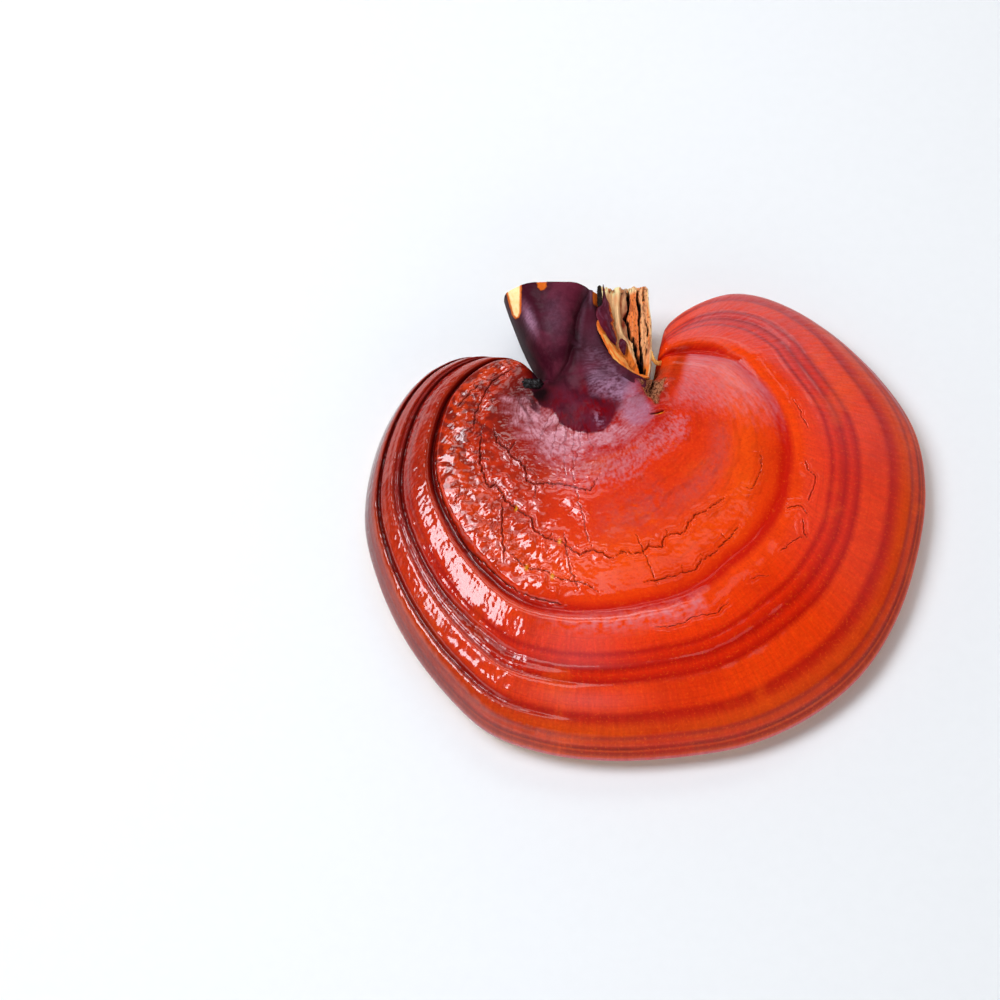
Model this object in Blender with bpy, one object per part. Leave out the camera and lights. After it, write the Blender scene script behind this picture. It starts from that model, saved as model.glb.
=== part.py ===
"""A reishi mushroom, picked and lying on its pore face: a kidney-shaped cap, its side stem and torn stem wood.

Frame: +X towards the cap's right lobe, +Y the way the stem points, +Z up, and the origin on the ground under
the middle of the object. The dimensions below are in millimetres, and MM turns them into metres.

The cap grew outwards from its hub, the U-shaped wall that holds the stem. Two growth coordinates name each
point of it: turn runs along the margin from the left tip of the notch (0) over the front (0.5) to the right tip
(1), and growth runs from the hub (0) to the margin (1). A growth ring is a line of constant growth.
"""

import math

import bmesh
import bpy
import numpy as np

MM = 0.001

# The cap in plan. The margin is one smooth curve through these points, from the left notch tip to the right.
MARGIN = (
    (-36.0, 41.0), (-42.5, 44.2), (-52.0, 44.6), (-62.0, 38.5), (-69.5, 27.0), (-74.1, 12.0), (-75.1, -3.0),
    (-71.6, -18.0), (-64.4, -34.2), (-54.4, -48.4), (-42.4, -60.1), (-28.0, -65.6), (-12.0, -67.6),
    (6.2, -66.7), (24.2, -63.5), (40.5, -56.1), (54.4, -44.7), (64.1, -30.2), (71.3, -11.0), (74.7, 8.0),
    (72.9, 25.0), (64.6, 40.6), (51.0, 55.4), (36.4, 64.7), (25.5, 66.8), (14.0, 62.5), (7.0, 56.5), (4.7, 50.0),
)
HUB_CENTRE = (-12.5, 37.0)
HUB_RADII = (14.5, 12.5)
CREST_GROWTH = 0.58
CREST_TURNS = (0.0, 0.1, 0.2, 0.3, 0.4, 0.5, 0.56, 0.66, 0.72, 0.78, 0.85, 0.9, 0.93, 1.0)
CREST_SHARES = (0.5, 0.62, 0.65, 0.642, 0.618, 0.585, 0.547, 0.543, 0.51, 0.47, 0.425, 0.30, 0.25, 0.25)

# The cap in height: its top relief along growth, the margin's own height, and how it rounds off at its edges.
RELIEF_GROWTHS = (0.0, 0.05, 0.15, 0.3, 0.45, 0.54, 0.58, 0.62, 0.7, 0.76, 0.82, 0.875, 0.9, 0.93, 0.955, 1.0)
RELIEF_HEIGHTS = (24.0, 21.6, 19.5, 20.0, 19.8, 19.2, 17.2, 18.6, 17.6, 15.2, 15.6, 14.1, 12.9, 13.1, 12.0, 10.0)
MARGIN_HEIGHT = 6.0
MARGIN_WAVE = 0.7
RIM_SHARE = 0.075
UNDERSIDE_FLAT_TO = 0.82
UNDERSIDE_LIFT = 2.6
NOTCH_ROUNDING = 5.0
NECK_TURNS = (0.0, 0.18, 0.34, 0.45, 0.62, 0.76, 0.82, 0.9, 1.0)
NECK_LIFTS = (-4.0, -3.0, -1.0, 0.6, 0.6, -0.6, -3.0, -4.0, -2.0)
NECK_REACH = 0.14
CAP_ROWS = (0.0, 0.04, 0.09, 0.16, 0.27, 0.39, 0.5, 0.555, 0.58, 0.605, 0.65, 0.71, 0.755, 0.8, 0.86, 0.9, 0.93,
            0.95, 0.965, 0.98, 0.991, 1.0)
CAP_COLUMNS = 68
COLUMN_EASE = 0.8

# The stem along +Y: station, left and right flank, underside and top.
STEM_STATIONS = (25.0, 26.2, 28.2, 30.6, 33.0, 34.6, 37.0, 40.0, 43.0, 46.0, 52.0, 57.0, 60.0)
STEM_LEFT = ((37.0, -26.7), (40.0, -29.3), (46.0, -32.8), (57.0, -37.4), (61.0, -38.8))
STEM_RIGHT = ((33.0, 0.6), (34.6, -2.6), (37.0, -6.0), (40.0, -8.6), (46.0, -11.6), (52.0, -12.0), (61.0, -12.6))
STEM_UNDERSIDE = ((25.0, 0.6), (33.0, 0.8), (40.0, 2.0), (48.0, 4.0), (60.0, 6.5))
STEM_TOP = ((25.0, 22.6), (29.0, 24.4), (34.0, 25.4), (42.0, 26.6), (50.0, 28.8), (60.0, 31.0))
STEM_AROUND = 40
STEM_CUT_LEAN = 0.2
NOSE_GAP = 0.3
ROUND_POWER = 2.3
BOXY_POWER = 6.0
LOBE_CENTRE = ((30.0, -21.5), (45.0, -22.0), (60.0, -25.0))
LOBE_RISE = 1.6
LOBE_WIDTH = 7.5
CREASE_LINE = ((30.0, -18.5), (34.0, -14.6), (44.0, -12.6), (60.0, -13.0))
CREASE_DEPTH = 2.0
CREASE_WIDTH = 2.2

# The torn wood along the stem's right flank: upright plates that meet at a tip in the notch.
PLATES = 6
PLATE_SHARE = 0.62
WOOD_GAP = 0.35
WOOD_STATIONS = (34.6, 37.0, 40.0, 46.0, 52.0, 57.0, 60.8)
WOOD_LEFT = tuple((y, x + WOOD_GAP) for y, x in STEM_RIGHT)
WOOD_RIGHT = ((34.0, 0.95), (37.0, 1.6), (40.0, 1.9), (46.0, 1.9), (61.0, 0.9))
WOOD_UNDERSIDE = ((34.0, 7.0), (40.0, 5.0), (61.0, 7.0))
WOOD_CREST = ((34.0, 17.0), (40.0, 20.0), (47.0, 22.0), (61.0, 23.5))
WOOD_VALLEY = ((34.0, 15.5), (40.0, 16.0), (47.0, 15.5), (61.0, 16.0))


def along(table, at):
    """The value at one station of a table of (station, value) pairs, joined by straight lines."""
    stations, values = zip(*table)
    return float(np.interp(at, stations, values))


def smooth_curve(points, samples):
    """Evenly spaced points of a centripetal Catmull-Rom curve through the given points."""
    points = np.asarray(points, float)
    knots = np.concatenate([[0.0], np.cumsum(np.linalg.norm(np.diff(points, axis=0), axis=1) ** 0.5)])
    first, last = 2.0 * points[0] - points[1], 2.0 * points[-1] - points[-2]
    points = np.vstack([first, points, last])
    knots = np.concatenate([[-knots[1]], knots, [2.0 * knots[-1] - knots[-2]]])
    pieces = []
    for i in range(len(points) - 3):
        k0, k1, k2, k3 = knots[i:i + 4]
        p0, p1, p2, p3 = points[i:i + 4]
        k = np.linspace(k1, k2, 33)[:-1, None]
        a1 = ((k1 - k) * p0 + (k - k0) * p1) / (k1 - k0)
        a2 = ((k2 - k) * p1 + (k - k1) * p2) / (k2 - k1)
        a3 = ((k3 - k) * p2 + (k - k2) * p3) / (k3 - k2)
        b1 = ((k2 - k) * a1 + (k - k0) * a2) / (k2 - k0)
        b2 = ((k3 - k) * a2 + (k - k1) * a3) / (k3 - k1)
        pieces.append(((k2 - k) * b1 + (k - k1) * b2) / (k2 - k1))
    curve = np.vstack(pieces + [points[-2:-1]])
    length = np.concatenate([[0.0], np.cumsum(np.linalg.norm(np.diff(curve, axis=0), axis=1))])
    at = np.asarray(samples) * length[-1]
    return np.stack([np.interp(at, length, curve[:, 0]), np.interp(at, length, curve[:, 1])], axis=-1)


def cap_plan(growth, turn):
    """Where growth rows and turn columns lie in plan, as an array of rows by columns by (x, y).

    Each column is a straight ray from the hub to the margin. A power law along it puts the ring at
    CREST_GROWTH on its own share of the ray, so that the rings crowd together as they did in growth.
    """
    angle = math.pi * (1.0 + turn)
    hub = np.stack([HUB_CENTRE[0] + HUB_RADII[0] * np.cos(angle),
                    HUB_CENTRE[1] + HUB_RADII[1] * np.sin(angle)], axis=-1)
    margin = smooth_curve(MARGIN, turn)
    power = np.log(np.interp(turn, CREST_TURNS, CREST_SHARES)) / math.log(CREST_GROWTH)
    share = growth[:, None] ** power[None, :]
    return hub[None] + (margin - hub)[None] * share[..., None]


def rounding(depth):
    """The height share of a quarter ellipse: 0 at the edge (depth 0), 1 from depth 1 on."""
    depth = np.clip(depth, 0.0, 1.0)
    return np.sqrt(1.0 - (1.0 - depth) ** 2)


def cap_heights(growth, turn, plan):
    """The cap's top and underside heights over the grid of rows and columns."""
    edge = MARGIN_HEIGHT + MARGIN_WAVE * np.sin(2.0 * math.pi * 1.5 * turn + 0.6)
    from_notch = np.minimum(np.linalg.norm(plan - plan[:, :1], axis=-1),
                            np.linalg.norm(plan - plan[:, -1:], axis=-1))
    at_notch = rounding(from_notch / NOTCH_ROUNDING)
    at_rim = rounding((1.0 - growth) / RIM_SHARE)[:, None]
    neck = np.interp(turn, NECK_TURNS, NECK_LIFTS)[None] * np.exp(-(growth / NECK_REACH) ** 2)[:, None]
    relief = np.interp(growth, RELIEF_GROWTHS, RELIEF_HEIGHTS)[:, None] + neck
    lift = UNDERSIDE_LIFT * np.clip((growth - UNDERSIDE_FLAT_TO) / (1.0 - UNDERSIDE_FLAT_TO), 0.0, 1.0) ** 2
    top = edge + (relief - edge) * at_rim * at_notch
    underside = edge - (edge - lift[:, None]) * at_rim * at_notch
    return top, underside


def new_object(name, bm, colour, roughness, sharp_degrees):
    """Finish a bmesh as a named object in metres, with its own material."""
    bmesh.ops.recalc_face_normals(bm, faces=bm.faces)
    bmesh.ops.scale(bm, vec=(MM, MM, MM), verts=bm.verts)
    mesh = bpy.data.meshes.new(name)
    bm.to_mesh(mesh)
    bm.free()
    mesh.shade_smooth()
    mesh.set_sharp_from_angle(angle=math.radians(sharp_degrees))
    material = bpy.data.materials.new(name)
    material.use_nodes = True
    shader = material.node_tree.nodes["Principled BSDF"]
    shader.inputs["Base Color"].default_value = (*colour, 1.0)
    shader.inputs["Roughness"].default_value = roughness
    shader.inputs["Metallic"].default_value = 0.0
    mesh.materials.append(material)
    thing = bpy.data.objects.new(name, mesh)
    bpy.context.collection.objects.link(thing)
    return thing


def build_cap():
    """The cap: top and underside grids that share the margin and both notch edges, joined at the hub wall."""
    growth = np.asarray(CAP_ROWS)
    even = np.linspace(0.0, 1.0, CAP_COLUMNS)
    turn = (1.0 - COLUMN_EASE) * even + COLUMN_EASE * (1.0 - np.cos(math.pi * even)) / 2.0
    plan = cap_plan(growth, turn)
    top_heights, underside_heights = cap_heights(growth, turn, plan)
    rows, columns = len(growth), len(turn)
    bm = bmesh.new()
    top = [[bm.verts.new((*plan[i, j], top_heights[i, j])) for j in range(columns)] for i in range(rows)]
    underside = [list(row) for row in top]
    for i in range(rows - 1):
        for j in range(1, columns - 1):
            underside[i][j] = bm.verts.new((*plan[i, j], underside_heights[i, j]))
    for i in range(rows - 1):
        for j in range(columns - 1):
            bm.faces.new((top[i][j], top[i + 1][j], top[i + 1][j + 1], top[i][j + 1]))
            bm.faces.new((underside[i][j], underside[i][j + 1], underside[i + 1][j + 1], underside[i + 1][j]))
    for j in range(columns - 1):
        wall = dict.fromkeys((top[0][j], top[0][j + 1], underside[0][j + 1], underside[0][j]))
        bm.faces.new(tuple(wall))
    return new_object("cap", bm, (0.62, 0.07, 0.02), 0.18, 40.0)


def loft(sections):
    """A closed body through rings of points: neighbouring rings are bridged and both ends are filled."""
    bm = bmesh.new()
    rings = []
    for section in sections:
        verts = [bm.verts.new(point) for point in section]
        rings.append([bm.edges.new((a, b)) for a, b in zip(verts, verts[1:] + verts[:1])])
    for ring, following in zip(rings, rings[1:]):
        bmesh.ops.bridge_loops(bm, edges=ring + following)
    bmesh.ops.holes_fill(bm, edges=rings[0] + rings[-1], sides=0)
    return bm


def stem_flanks(y):
    """The stem's left and right x at one station: inside the hub its nose follows the hub's arc."""
    reach = (HUB_CENTRE[1] - y) / (HUB_RADII[1] - NOSE_GAP)
    half = (HUB_RADII[0] - NOSE_GAP) * math.sqrt(max(0.0, 1.0 - max(0.0, reach) ** 2))
    left = HUB_CENTRE[0] - half if y < HUB_CENTRE[1] else along(STEM_LEFT, y)
    right = min(HUB_CENTRE[0] + half, along(STEM_RIGHT, y))
    return left, right


def stem_section(y):
    """One ring of the stem: a superellipse, boxy on the torn flank and in the hub, with its lobe and crease."""
    left, right = stem_flanks(y)
    low, high = along(STEM_UNDERSIDE, y), along(STEM_TOP, y)
    middle, level = (left + right) / 2.0, (low + high) / 2.0
    in_hub = 1.0 / (1.0 + math.exp((y - 38.0) / 1.5))
    left_power = ROUND_POWER + (BOXY_POWER - ROUND_POWER) * in_hub
    lobe_fade = min(1.0, max(0.0, (y - 28.0) / 6.0))
    ring = []
    for k in range(STEM_AROUND):
        angle = 2.0 * math.pi * k / STEM_AROUND
        across, upward = math.cos(angle), math.sin(angle)
        power = BOXY_POWER if across > 0.0 else left_power
        x = middle + (right - left) / 2.0 * math.copysign(abs(across) ** (2.0 / power), across)
        z = level + (high - low) / 2.0 * math.copysign(abs(upward) ** (2.0 / power), upward)
        if upward > 0.0:
            lobe = LOBE_RISE * math.exp(-((x - along(LOBE_CENTRE, y)) / LOBE_WIDTH) ** 2)
            crease = CREASE_DEPTH * math.exp(-((x - along(CREASE_LINE, y)) / CREASE_WIDTH) ** 2)
            z += (lobe - crease) * lobe_fade * upward
        lean = STEM_CUT_LEAN * max(0.0, y - 48.0) / 12.0
        ring.append((x, y - lean * (z - level), z))
    return ring


def build_stem():
    """The lacquered stem, from its nose in the hub to its flat cut end."""
    bm = loft([stem_section(y) for y in STEM_STATIONS])
    return new_object("stem", bm, (0.09, 0.012, 0.02), 0.25, 35.0)


def wood_section(y):
    """One ring of the torn wood: a comb, flat below, with one upright tooth for each plate."""
    left, right = along(WOOD_LEFT, y), along(WOOD_RIGHT, y)
    low, crest, valley = along(WOOD_UNDERSIDE, y), along(WOOD_CREST, y), along(WOOD_VALLEY, y)
    pitch = (right - left) / PLATES
    ring = [(right, y, low), (left, y, low)]
    for plate in range(PLATES):
        start = left + plate * pitch
        thick = pitch * PLATE_SHARE if plate < PLATES - 1 else pitch
        top = crest - 0.9 * ((plate * 2) % 3)
        ring += [(start, y, top), (start + thick, y, top)]
        if plate < PLATES - 1:
            ring += [(start + thick, y, valley), (start + pitch, y, valley)]
    return ring


def build_split_wood():
    """The torn wood on the stem's right flank, split lengthwise into upright plates."""
    bm = loft([wood_section(y) for y in WOOD_STATIONS])
    return new_object("split_wood", bm, (0.55, 0.27, 0.09), 0.7, 20.0)


def main():
    """Clear the scene and build the three pieces."""
    for thing in list(bpy.data.objects):
        bpy.data.objects.remove(thing, do_unlink=True)
    build_cap()
    build_stem()
    build_split_wood()


if __name__ == "__main__":
    main()
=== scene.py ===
"""A picked reishi mushroom on a pale table: its lacquered cap, dark side stem and torn stem wood.

Frame: +X towards the cap's right lobe, +Y the way the stem points, +Z up, the origin on the table under the
middle of the object. Sizes are in millimetres and become metres where a mesh is made.

The cap grew outwards from its hub, the U-shaped seat of the stem. Two growth coordinates name each point of
it: turn runs along the margin from the notch's left tip (0) over the front (0.5) to its right tip (1), and
growth from the hub (0) to the margin (1). A growth ring is a line of constant growth. The margin is about
ALONG millimetres long, and the front of it is about OUTWARD millimetres from the hub.
"""

import logging
import math
from dataclasses import dataclass, field
from enum import Enum

import bpy
import numpy as np
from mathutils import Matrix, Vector

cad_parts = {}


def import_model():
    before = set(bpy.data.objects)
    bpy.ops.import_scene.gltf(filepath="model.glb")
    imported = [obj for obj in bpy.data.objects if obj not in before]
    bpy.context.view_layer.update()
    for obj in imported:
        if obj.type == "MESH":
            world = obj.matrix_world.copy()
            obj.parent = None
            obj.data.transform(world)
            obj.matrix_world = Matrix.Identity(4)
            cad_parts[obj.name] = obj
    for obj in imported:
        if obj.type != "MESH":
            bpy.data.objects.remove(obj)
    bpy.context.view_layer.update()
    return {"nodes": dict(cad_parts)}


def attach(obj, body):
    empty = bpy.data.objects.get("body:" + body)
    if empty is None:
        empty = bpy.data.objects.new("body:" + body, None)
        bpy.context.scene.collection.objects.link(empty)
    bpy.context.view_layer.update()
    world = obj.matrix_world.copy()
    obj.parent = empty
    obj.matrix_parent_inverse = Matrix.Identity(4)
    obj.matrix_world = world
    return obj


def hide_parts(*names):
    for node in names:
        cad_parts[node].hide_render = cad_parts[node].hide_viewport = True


log = logging.getLogger("reishi")

MM = 0.001
BODY = "root"
ALONG = 430.0
OUTWARD = 92.0
FAR = 1e9
CRACK_PITCH = 0.35

Grid = np.ndarray
Marks = dict[str, np.ndarray]
Piece = bpy.types.Object
Material = bpy.types.Material
Socket = bpy.types.NodeSocket
Feed = Socket | float | tuple
Pairs = tuple[tuple[float, float], ...]
Path = tuple[tuple[float, float, float], ...]
Colour = tuple[int, int, int]


# ---- number work

def step(low: float, high: float, x: Grid) -> Grid:
    """Smooth step: 0 below low, 1 above high, and the cubic 3u^2 - 2u^3 between them."""
    u = unit((x - low) / (high - low))
    return u * u * (3 - 2 * u)


def bump(x: Grid, centre: float, width: float) -> Grid:
    """Bell curve exp(-((x - centre) / width)^2)."""
    return np.exp(-((x - centre) / width) ** 2)


def unit(x: Grid) -> Grid:
    """Numbers held between 0 and 1."""
    return np.clip(x, 0, 1)


def span(x: Grid, start: float, full: float, still: float, end: float) -> Grid:
    """A window: it opens from start to full and closes from still to end."""
    return step(start, full, x) * step(end, still, x)


def spots(x: Grid, y: Grid, *places: tuple[float, float, float, float, float]) -> Grid:
    """The highest of bell-shaped spots, each given as (height, x, width, y, length)."""
    bells = [top * bump(x, px, width) * bump(y, py, length) for top, px, width, py, length in places]
    return np.max(bells, axis=0)


def lookup(x: Grid, pairs: Pairs) -> Grid:
    """A table of (x, value) pairs joined by straight lines."""
    xs, ys = zip(*pairs)
    return np.interp(x, xs, ys)


def glide(x: Grid, pairs: Pairs) -> Grid:
    """A table of (x, value) pairs joined by a smooth curve that never overshoots.

    Cubic Hermite pieces whose slope at each point is the harmonic mean of the chords beside it, or 0 where
    the table turns round.

    Args:
        x: where to read the table; its end values hold beyond it.
        pairs: the table.

    Returns:
        The curve's value at each x.
    """
    xs, ys = (np.array(v, float) for v in zip(*pairs))
    gap = np.diff(xs)
    chord = np.diff(ys) / gap
    slope = np.zeros_like(xs)
    same = chord[:-1] * chord[1:] > 0
    slope[1:-1][same] = 2 * chord[:-1][same] * chord[1:][same] / (chord[:-1][same] + chord[1:][same])
    slope[0], slope[-1] = chord[0], chord[-1]
    x = np.clip(np.asarray(x, float), xs[0], xs[-1])
    k = np.clip(np.searchsorted(xs, x, side="right") - 1, 0, len(xs) - 2)
    u = (x - xs[k]) / gap[k]
    return ((1 + 2 * u) * (1 - u) ** 2 * ys[k] + u * (1 - u) ** 2 * gap[k] * slope[k]
            + u * u * (3 - 2 * u) * ys[k + 1] + u * u * (u - 1) * gap[k] * slope[k + 1])


def cell_hash(i: Grid, j: Grid, seed: int) -> Grid:
    """Scrambled numbers from 0 to 1 for whole-number cells, by folding 32-bit products.

    Args:
        i, j: the cells' numbers.
        seed: which scramble.

    Returns:
        A number for each cell.
    """
    h = (i.astype(np.int64) * 374761393 + j.astype(np.int64) * 668265263 + seed * 974634777) & 0xFFFFFFFF
    h = ((h ^ (h >> 13)) * 1274126177) & 0xFFFFFFFF
    return ((h ^ (h >> 16)) & 0xFFFFFFFF) / 4294967296.0


def noise(x: Grid, y: Grid, seed: int) -> Grid:
    """Smooth gradient noise from about -1 to 1, one feature to each unit of x and y.

    Each cell corner has a direction; its dot product with the way to the point is blended with the quintic
    6u^5 - 15u^4 + 10u^3.

    Args:
        x, y: the points.
        seed: which pattern.

    Returns:
        The noise at each point.
    """
    x, y = np.broadcast_arrays(np.asarray(x, float), np.asarray(y, float))
    i, j = np.floor(x), np.floor(y)
    u, v = x - i, y - j

    def corner(di: int, dj: int) -> Grid:
        """The pull of one cell corner."""
        angle = 2 * math.pi * cell_hash(i + di, j + dj, seed)
        return np.cos(angle) * (u - di) + np.sin(angle) * (v - dj)

    su, sv = (w * w * w * (w * (6 * w - 15) + 10) for w in (u, v))
    low = corner(0, 0) * (1 - su) + corner(1, 0) * su
    high = corner(0, 1) * (1 - su) + corner(1, 1) * su
    return 1.5 * (low * (1 - sv) + high * sv)


def fractal(x: Grid, y: Grid, seed: int, octaves: int = 3) -> Grid:
    """Noise summed over octaves, each at twice the frequency and half the height of the last."""
    return sum(noise(x * 2 ** k, y * 2 ** k, seed + 17 * k) / 2 ** k for k in range(octaves))


def creased(x: Grid, y: Grid, seed: int, octaves: int = 1) -> Grid:
    """Noise folded at zero, |n|: round cushions parted by sharp creases, 0 in these and 0.3 on average."""
    total = sum(np.abs(noise(x * 2 ** k, y * 2 ** k, seed + 29 * k)) / 2 ** k for k in range(octaves))
    return total / sum(0.5 ** k for k in range(octaves))


def smooth_max(a: Grid, b: Grid, blend: float) -> Grid:
    """The larger of two heights, with a fillet where they are within blend of each other."""
    share = unit(0.5 + 0.5 * (a - b) / blend)
    return b + (a - b) * share + blend * share * (1 - share)


def chain(points: Pairs | Path, samples: Grid) -> Grid:
    """Points at even shares of length along a centripetal Catmull-Rom curve through the given points.

    Args:
        points: the curve's own points, first to last, in plan or in space.
        samples: shares of its length, from 0 to 1.

    Returns:
        An array of samples by coordinates.
    """
    own = np.asarray(points, float)
    knots = np.concatenate([[0], np.cumsum(np.linalg.norm(np.diff(own, axis=0), axis=1) ** 0.5)])
    own = np.vstack([2 * own[0] - own[1], own, 2 * own[-1] - own[-2]])
    knots = np.concatenate([[-knots[1]], knots, [2 * knots[-1] - knots[-2]]])
    pieces = []
    for n in range(len(knots) - 3):
        (k0, k1, k2, k3), (p0, p1, p2, p3) = knots[n:n + 4], own[n:n + 4]
        k = np.linspace(k1, k2, 33)[:-1, None]
        a1 = ((k1 - k) * p0 + (k - k0) * p1) / (k1 - k0)
        a2 = ((k2 - k) * p1 + (k - k1) * p2) / (k2 - k1)
        a3 = ((k3 - k) * p2 + (k - k2) * p3) / (k3 - k2)
        b1 = ((k2 - k) * a1 + (k - k0) * a2) / (k2 - k0)
        b2 = ((k3 - k) * a2 + (k - k1) * a3) / (k3 - k1)
        pieces.append(((k2 - k) * b1 + (k - k1) * b2) / (k2 - k1))
    curve = np.vstack(pieces + [own[-2:-1]])
    length = np.concatenate([[0], np.cumsum(np.linalg.norm(np.diff(curve, axis=0), axis=1))])
    at = np.asarray(samples, float) * length[-1]
    return np.stack([np.interp(at, length, part) for part in curve.T], axis=-1)


def inside(x: Grid, y: Grid, outline: Pairs) -> Grid:
    """Signed distance to a closed outline in plan: positive inside it, in millimetres.

    Args:
        x, y: the points in plan.
        outline: the outline's corners, in order.

    Returns:
        The distance. A point is inside where a line from it crosses an odd number of sides.
    """
    x, y = np.broadcast_arrays(np.asarray(x, float), np.asarray(y, float))
    near = np.full(x.shape, FAR)
    within = np.zeros(x.shape, bool)
    for (ax, ay), (bx, by) in zip(outline, outline[1:] + outline[:1]):
        dx, dy = bx - ax, by - ay
        share = unit(((x - ax) * dx + (y - ay) * dy) / (dx ** 2 + dy ** 2))
        near = np.minimum(near, np.hypot(x - ax - share * dx, y - ay - share * dy))
        if dy:
            within ^= ((ay > y) != (by > y)) & (x < ax + (y - ay) * dx / dy)
    return np.where(within, near, -near)


# ---- meshes

def grid_normals(points: Grid) -> Grid:
    """Unit normals of a grid of points: the cross product of its row and column differences."""
    normal = np.cross(np.gradient(points, axis=0), np.gradient(points, axis=1))
    return normal / np.maximum(np.linalg.norm(normal, axis=-1, keepdims=True), 1e-12)


def sheet(name: str, points: Grid, uv: Grid | None = None, wraps: bool = False, flip: bool = False,
          normals: Grid | None = None, marks: Marks | None = None,
          closed_ends: bool = False) -> Piece:
    """A mesh object from a grid of points, in millimetres.

    Its faces' fronts are the cross product of the way down the rows and the way along the columns.

    Args:
        name: the object's name.
        points: rows by columns by (x, y, z).
        uv: rows by columns by (u, v), or None.
        wraps: whether the last column meets the first.
        flip: whether the faces are turned over.
        normals: the shading normals, or None for Blender's own.
        marks: scalar attributes by name, rows by columns.
        closed_ends: whether fans close the first and last rows.

    Returns:
        The new object, linked into the scene.
    """
    rows, columns = points.shape[:2]
    number = np.arange(rows * columns).reshape(rows, columns)
    right = np.roll(number, -1, axis=1) if wraps else number[:, 1:]
    left = number if wraps else number[:, :-1]
    quads = np.stack([left[:-1], left[1:], right[1:], right[:-1]], axis=-1).reshape(-1, 4)
    if flip:
        quads = quads[:, ::-1]
    coordinates = points.reshape(-1, 3)
    loops, starts = quads.ravel(), np.arange(len(quads)) * 4
    totals = np.full(len(quads), 4)
    if closed_ends:
        middles = np.stack([points[0].mean(axis=0), points[-1].mean(axis=0)])
        fans = []
        ends = ((number[0], rows * columns, not flip), (number[-1], rows * columns + 1, flip))
        for ring, middle, turned in ends:
            fan = np.stack([ring, np.roll(ring, -1), np.full(columns, middle)], axis=-1)
            fans.append(fan[:, ::-1] if turned else fan)
        fans = np.vstack(fans)
        coordinates = np.vstack([coordinates, middles])
        loops = np.concatenate([loops, fans.ravel()])
        starts = np.concatenate([starts, len(quads) * 4 + np.arange(len(fans)) * 3])
        totals = np.concatenate([totals, np.full(len(fans), 3)])
    mesh = bpy.data.meshes.new(name)
    mesh.vertices.add(len(coordinates))
    mesh.vertices.foreach_set("co", (coordinates * MM).astype(np.float32).ravel())
    mesh.loops.add(len(loops))
    mesh.loops.foreach_set("vertex_index", loops.astype(np.int32))
    mesh.polygons.add(len(starts))
    mesh.polygons.foreach_set("loop_start", starts.astype(np.int32))
    mesh.polygons.foreach_set("loop_total", totals.astype(np.int32))
    mesh.update(calc_edges=True)
    if uv is not None:
        flat = np.vstack([uv.reshape(-1, 2), np.zeros((len(coordinates) - rows * columns, 2))])
        layer = mesh.uv_layers.new(name="growth")
        layer.data.foreach_set("uv", flat[loops].astype(np.float32).ravel())
    for mark, values in (marks or {}).items():
        flat = np.concatenate([values.ravel(), np.zeros(len(coordinates) - rows * columns)])
        attribute = mesh.attributes.new(mark, "FLOAT", "POINT")
        attribute.data.foreach_set("value", flat.astype(np.float32))
    mesh.shade_smooth()
    if normals is not None:
        mesh.normals_split_custom_set_from_vertices(normals.reshape(-1, 3).tolist())
    mesh.validate()
    thing = bpy.data.objects.new(name, mesh)
    bpy.context.scene.collection.objects.link(thing)
    return thing


def settle(piece: Piece, finish: Material, node: str) -> None:
    """Give a piece its finish, put it on the body and hide the CAD node that it stands for.

    Args:
        piece: the finished object.
        finish: its material.
        node: the CAD node that it replaces.
    """
    piece.data.materials.append(finish)
    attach(piece, BODY)
    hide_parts(node)
    log.info("%s: %d faces", piece.name, len(piece.data.polygons))


# ---- shading

def paint(colour: Colour) -> tuple[float, float, float, float]:
    """A screen colour of 0 to 255 as the linear colour that shaders take."""
    linear = [(c / 255 / 12.92) if c <= 10 else ((c / 255 + 0.055) / 1.055) ** 2.4 for c in colour]
    return (*linear, 1)


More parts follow.
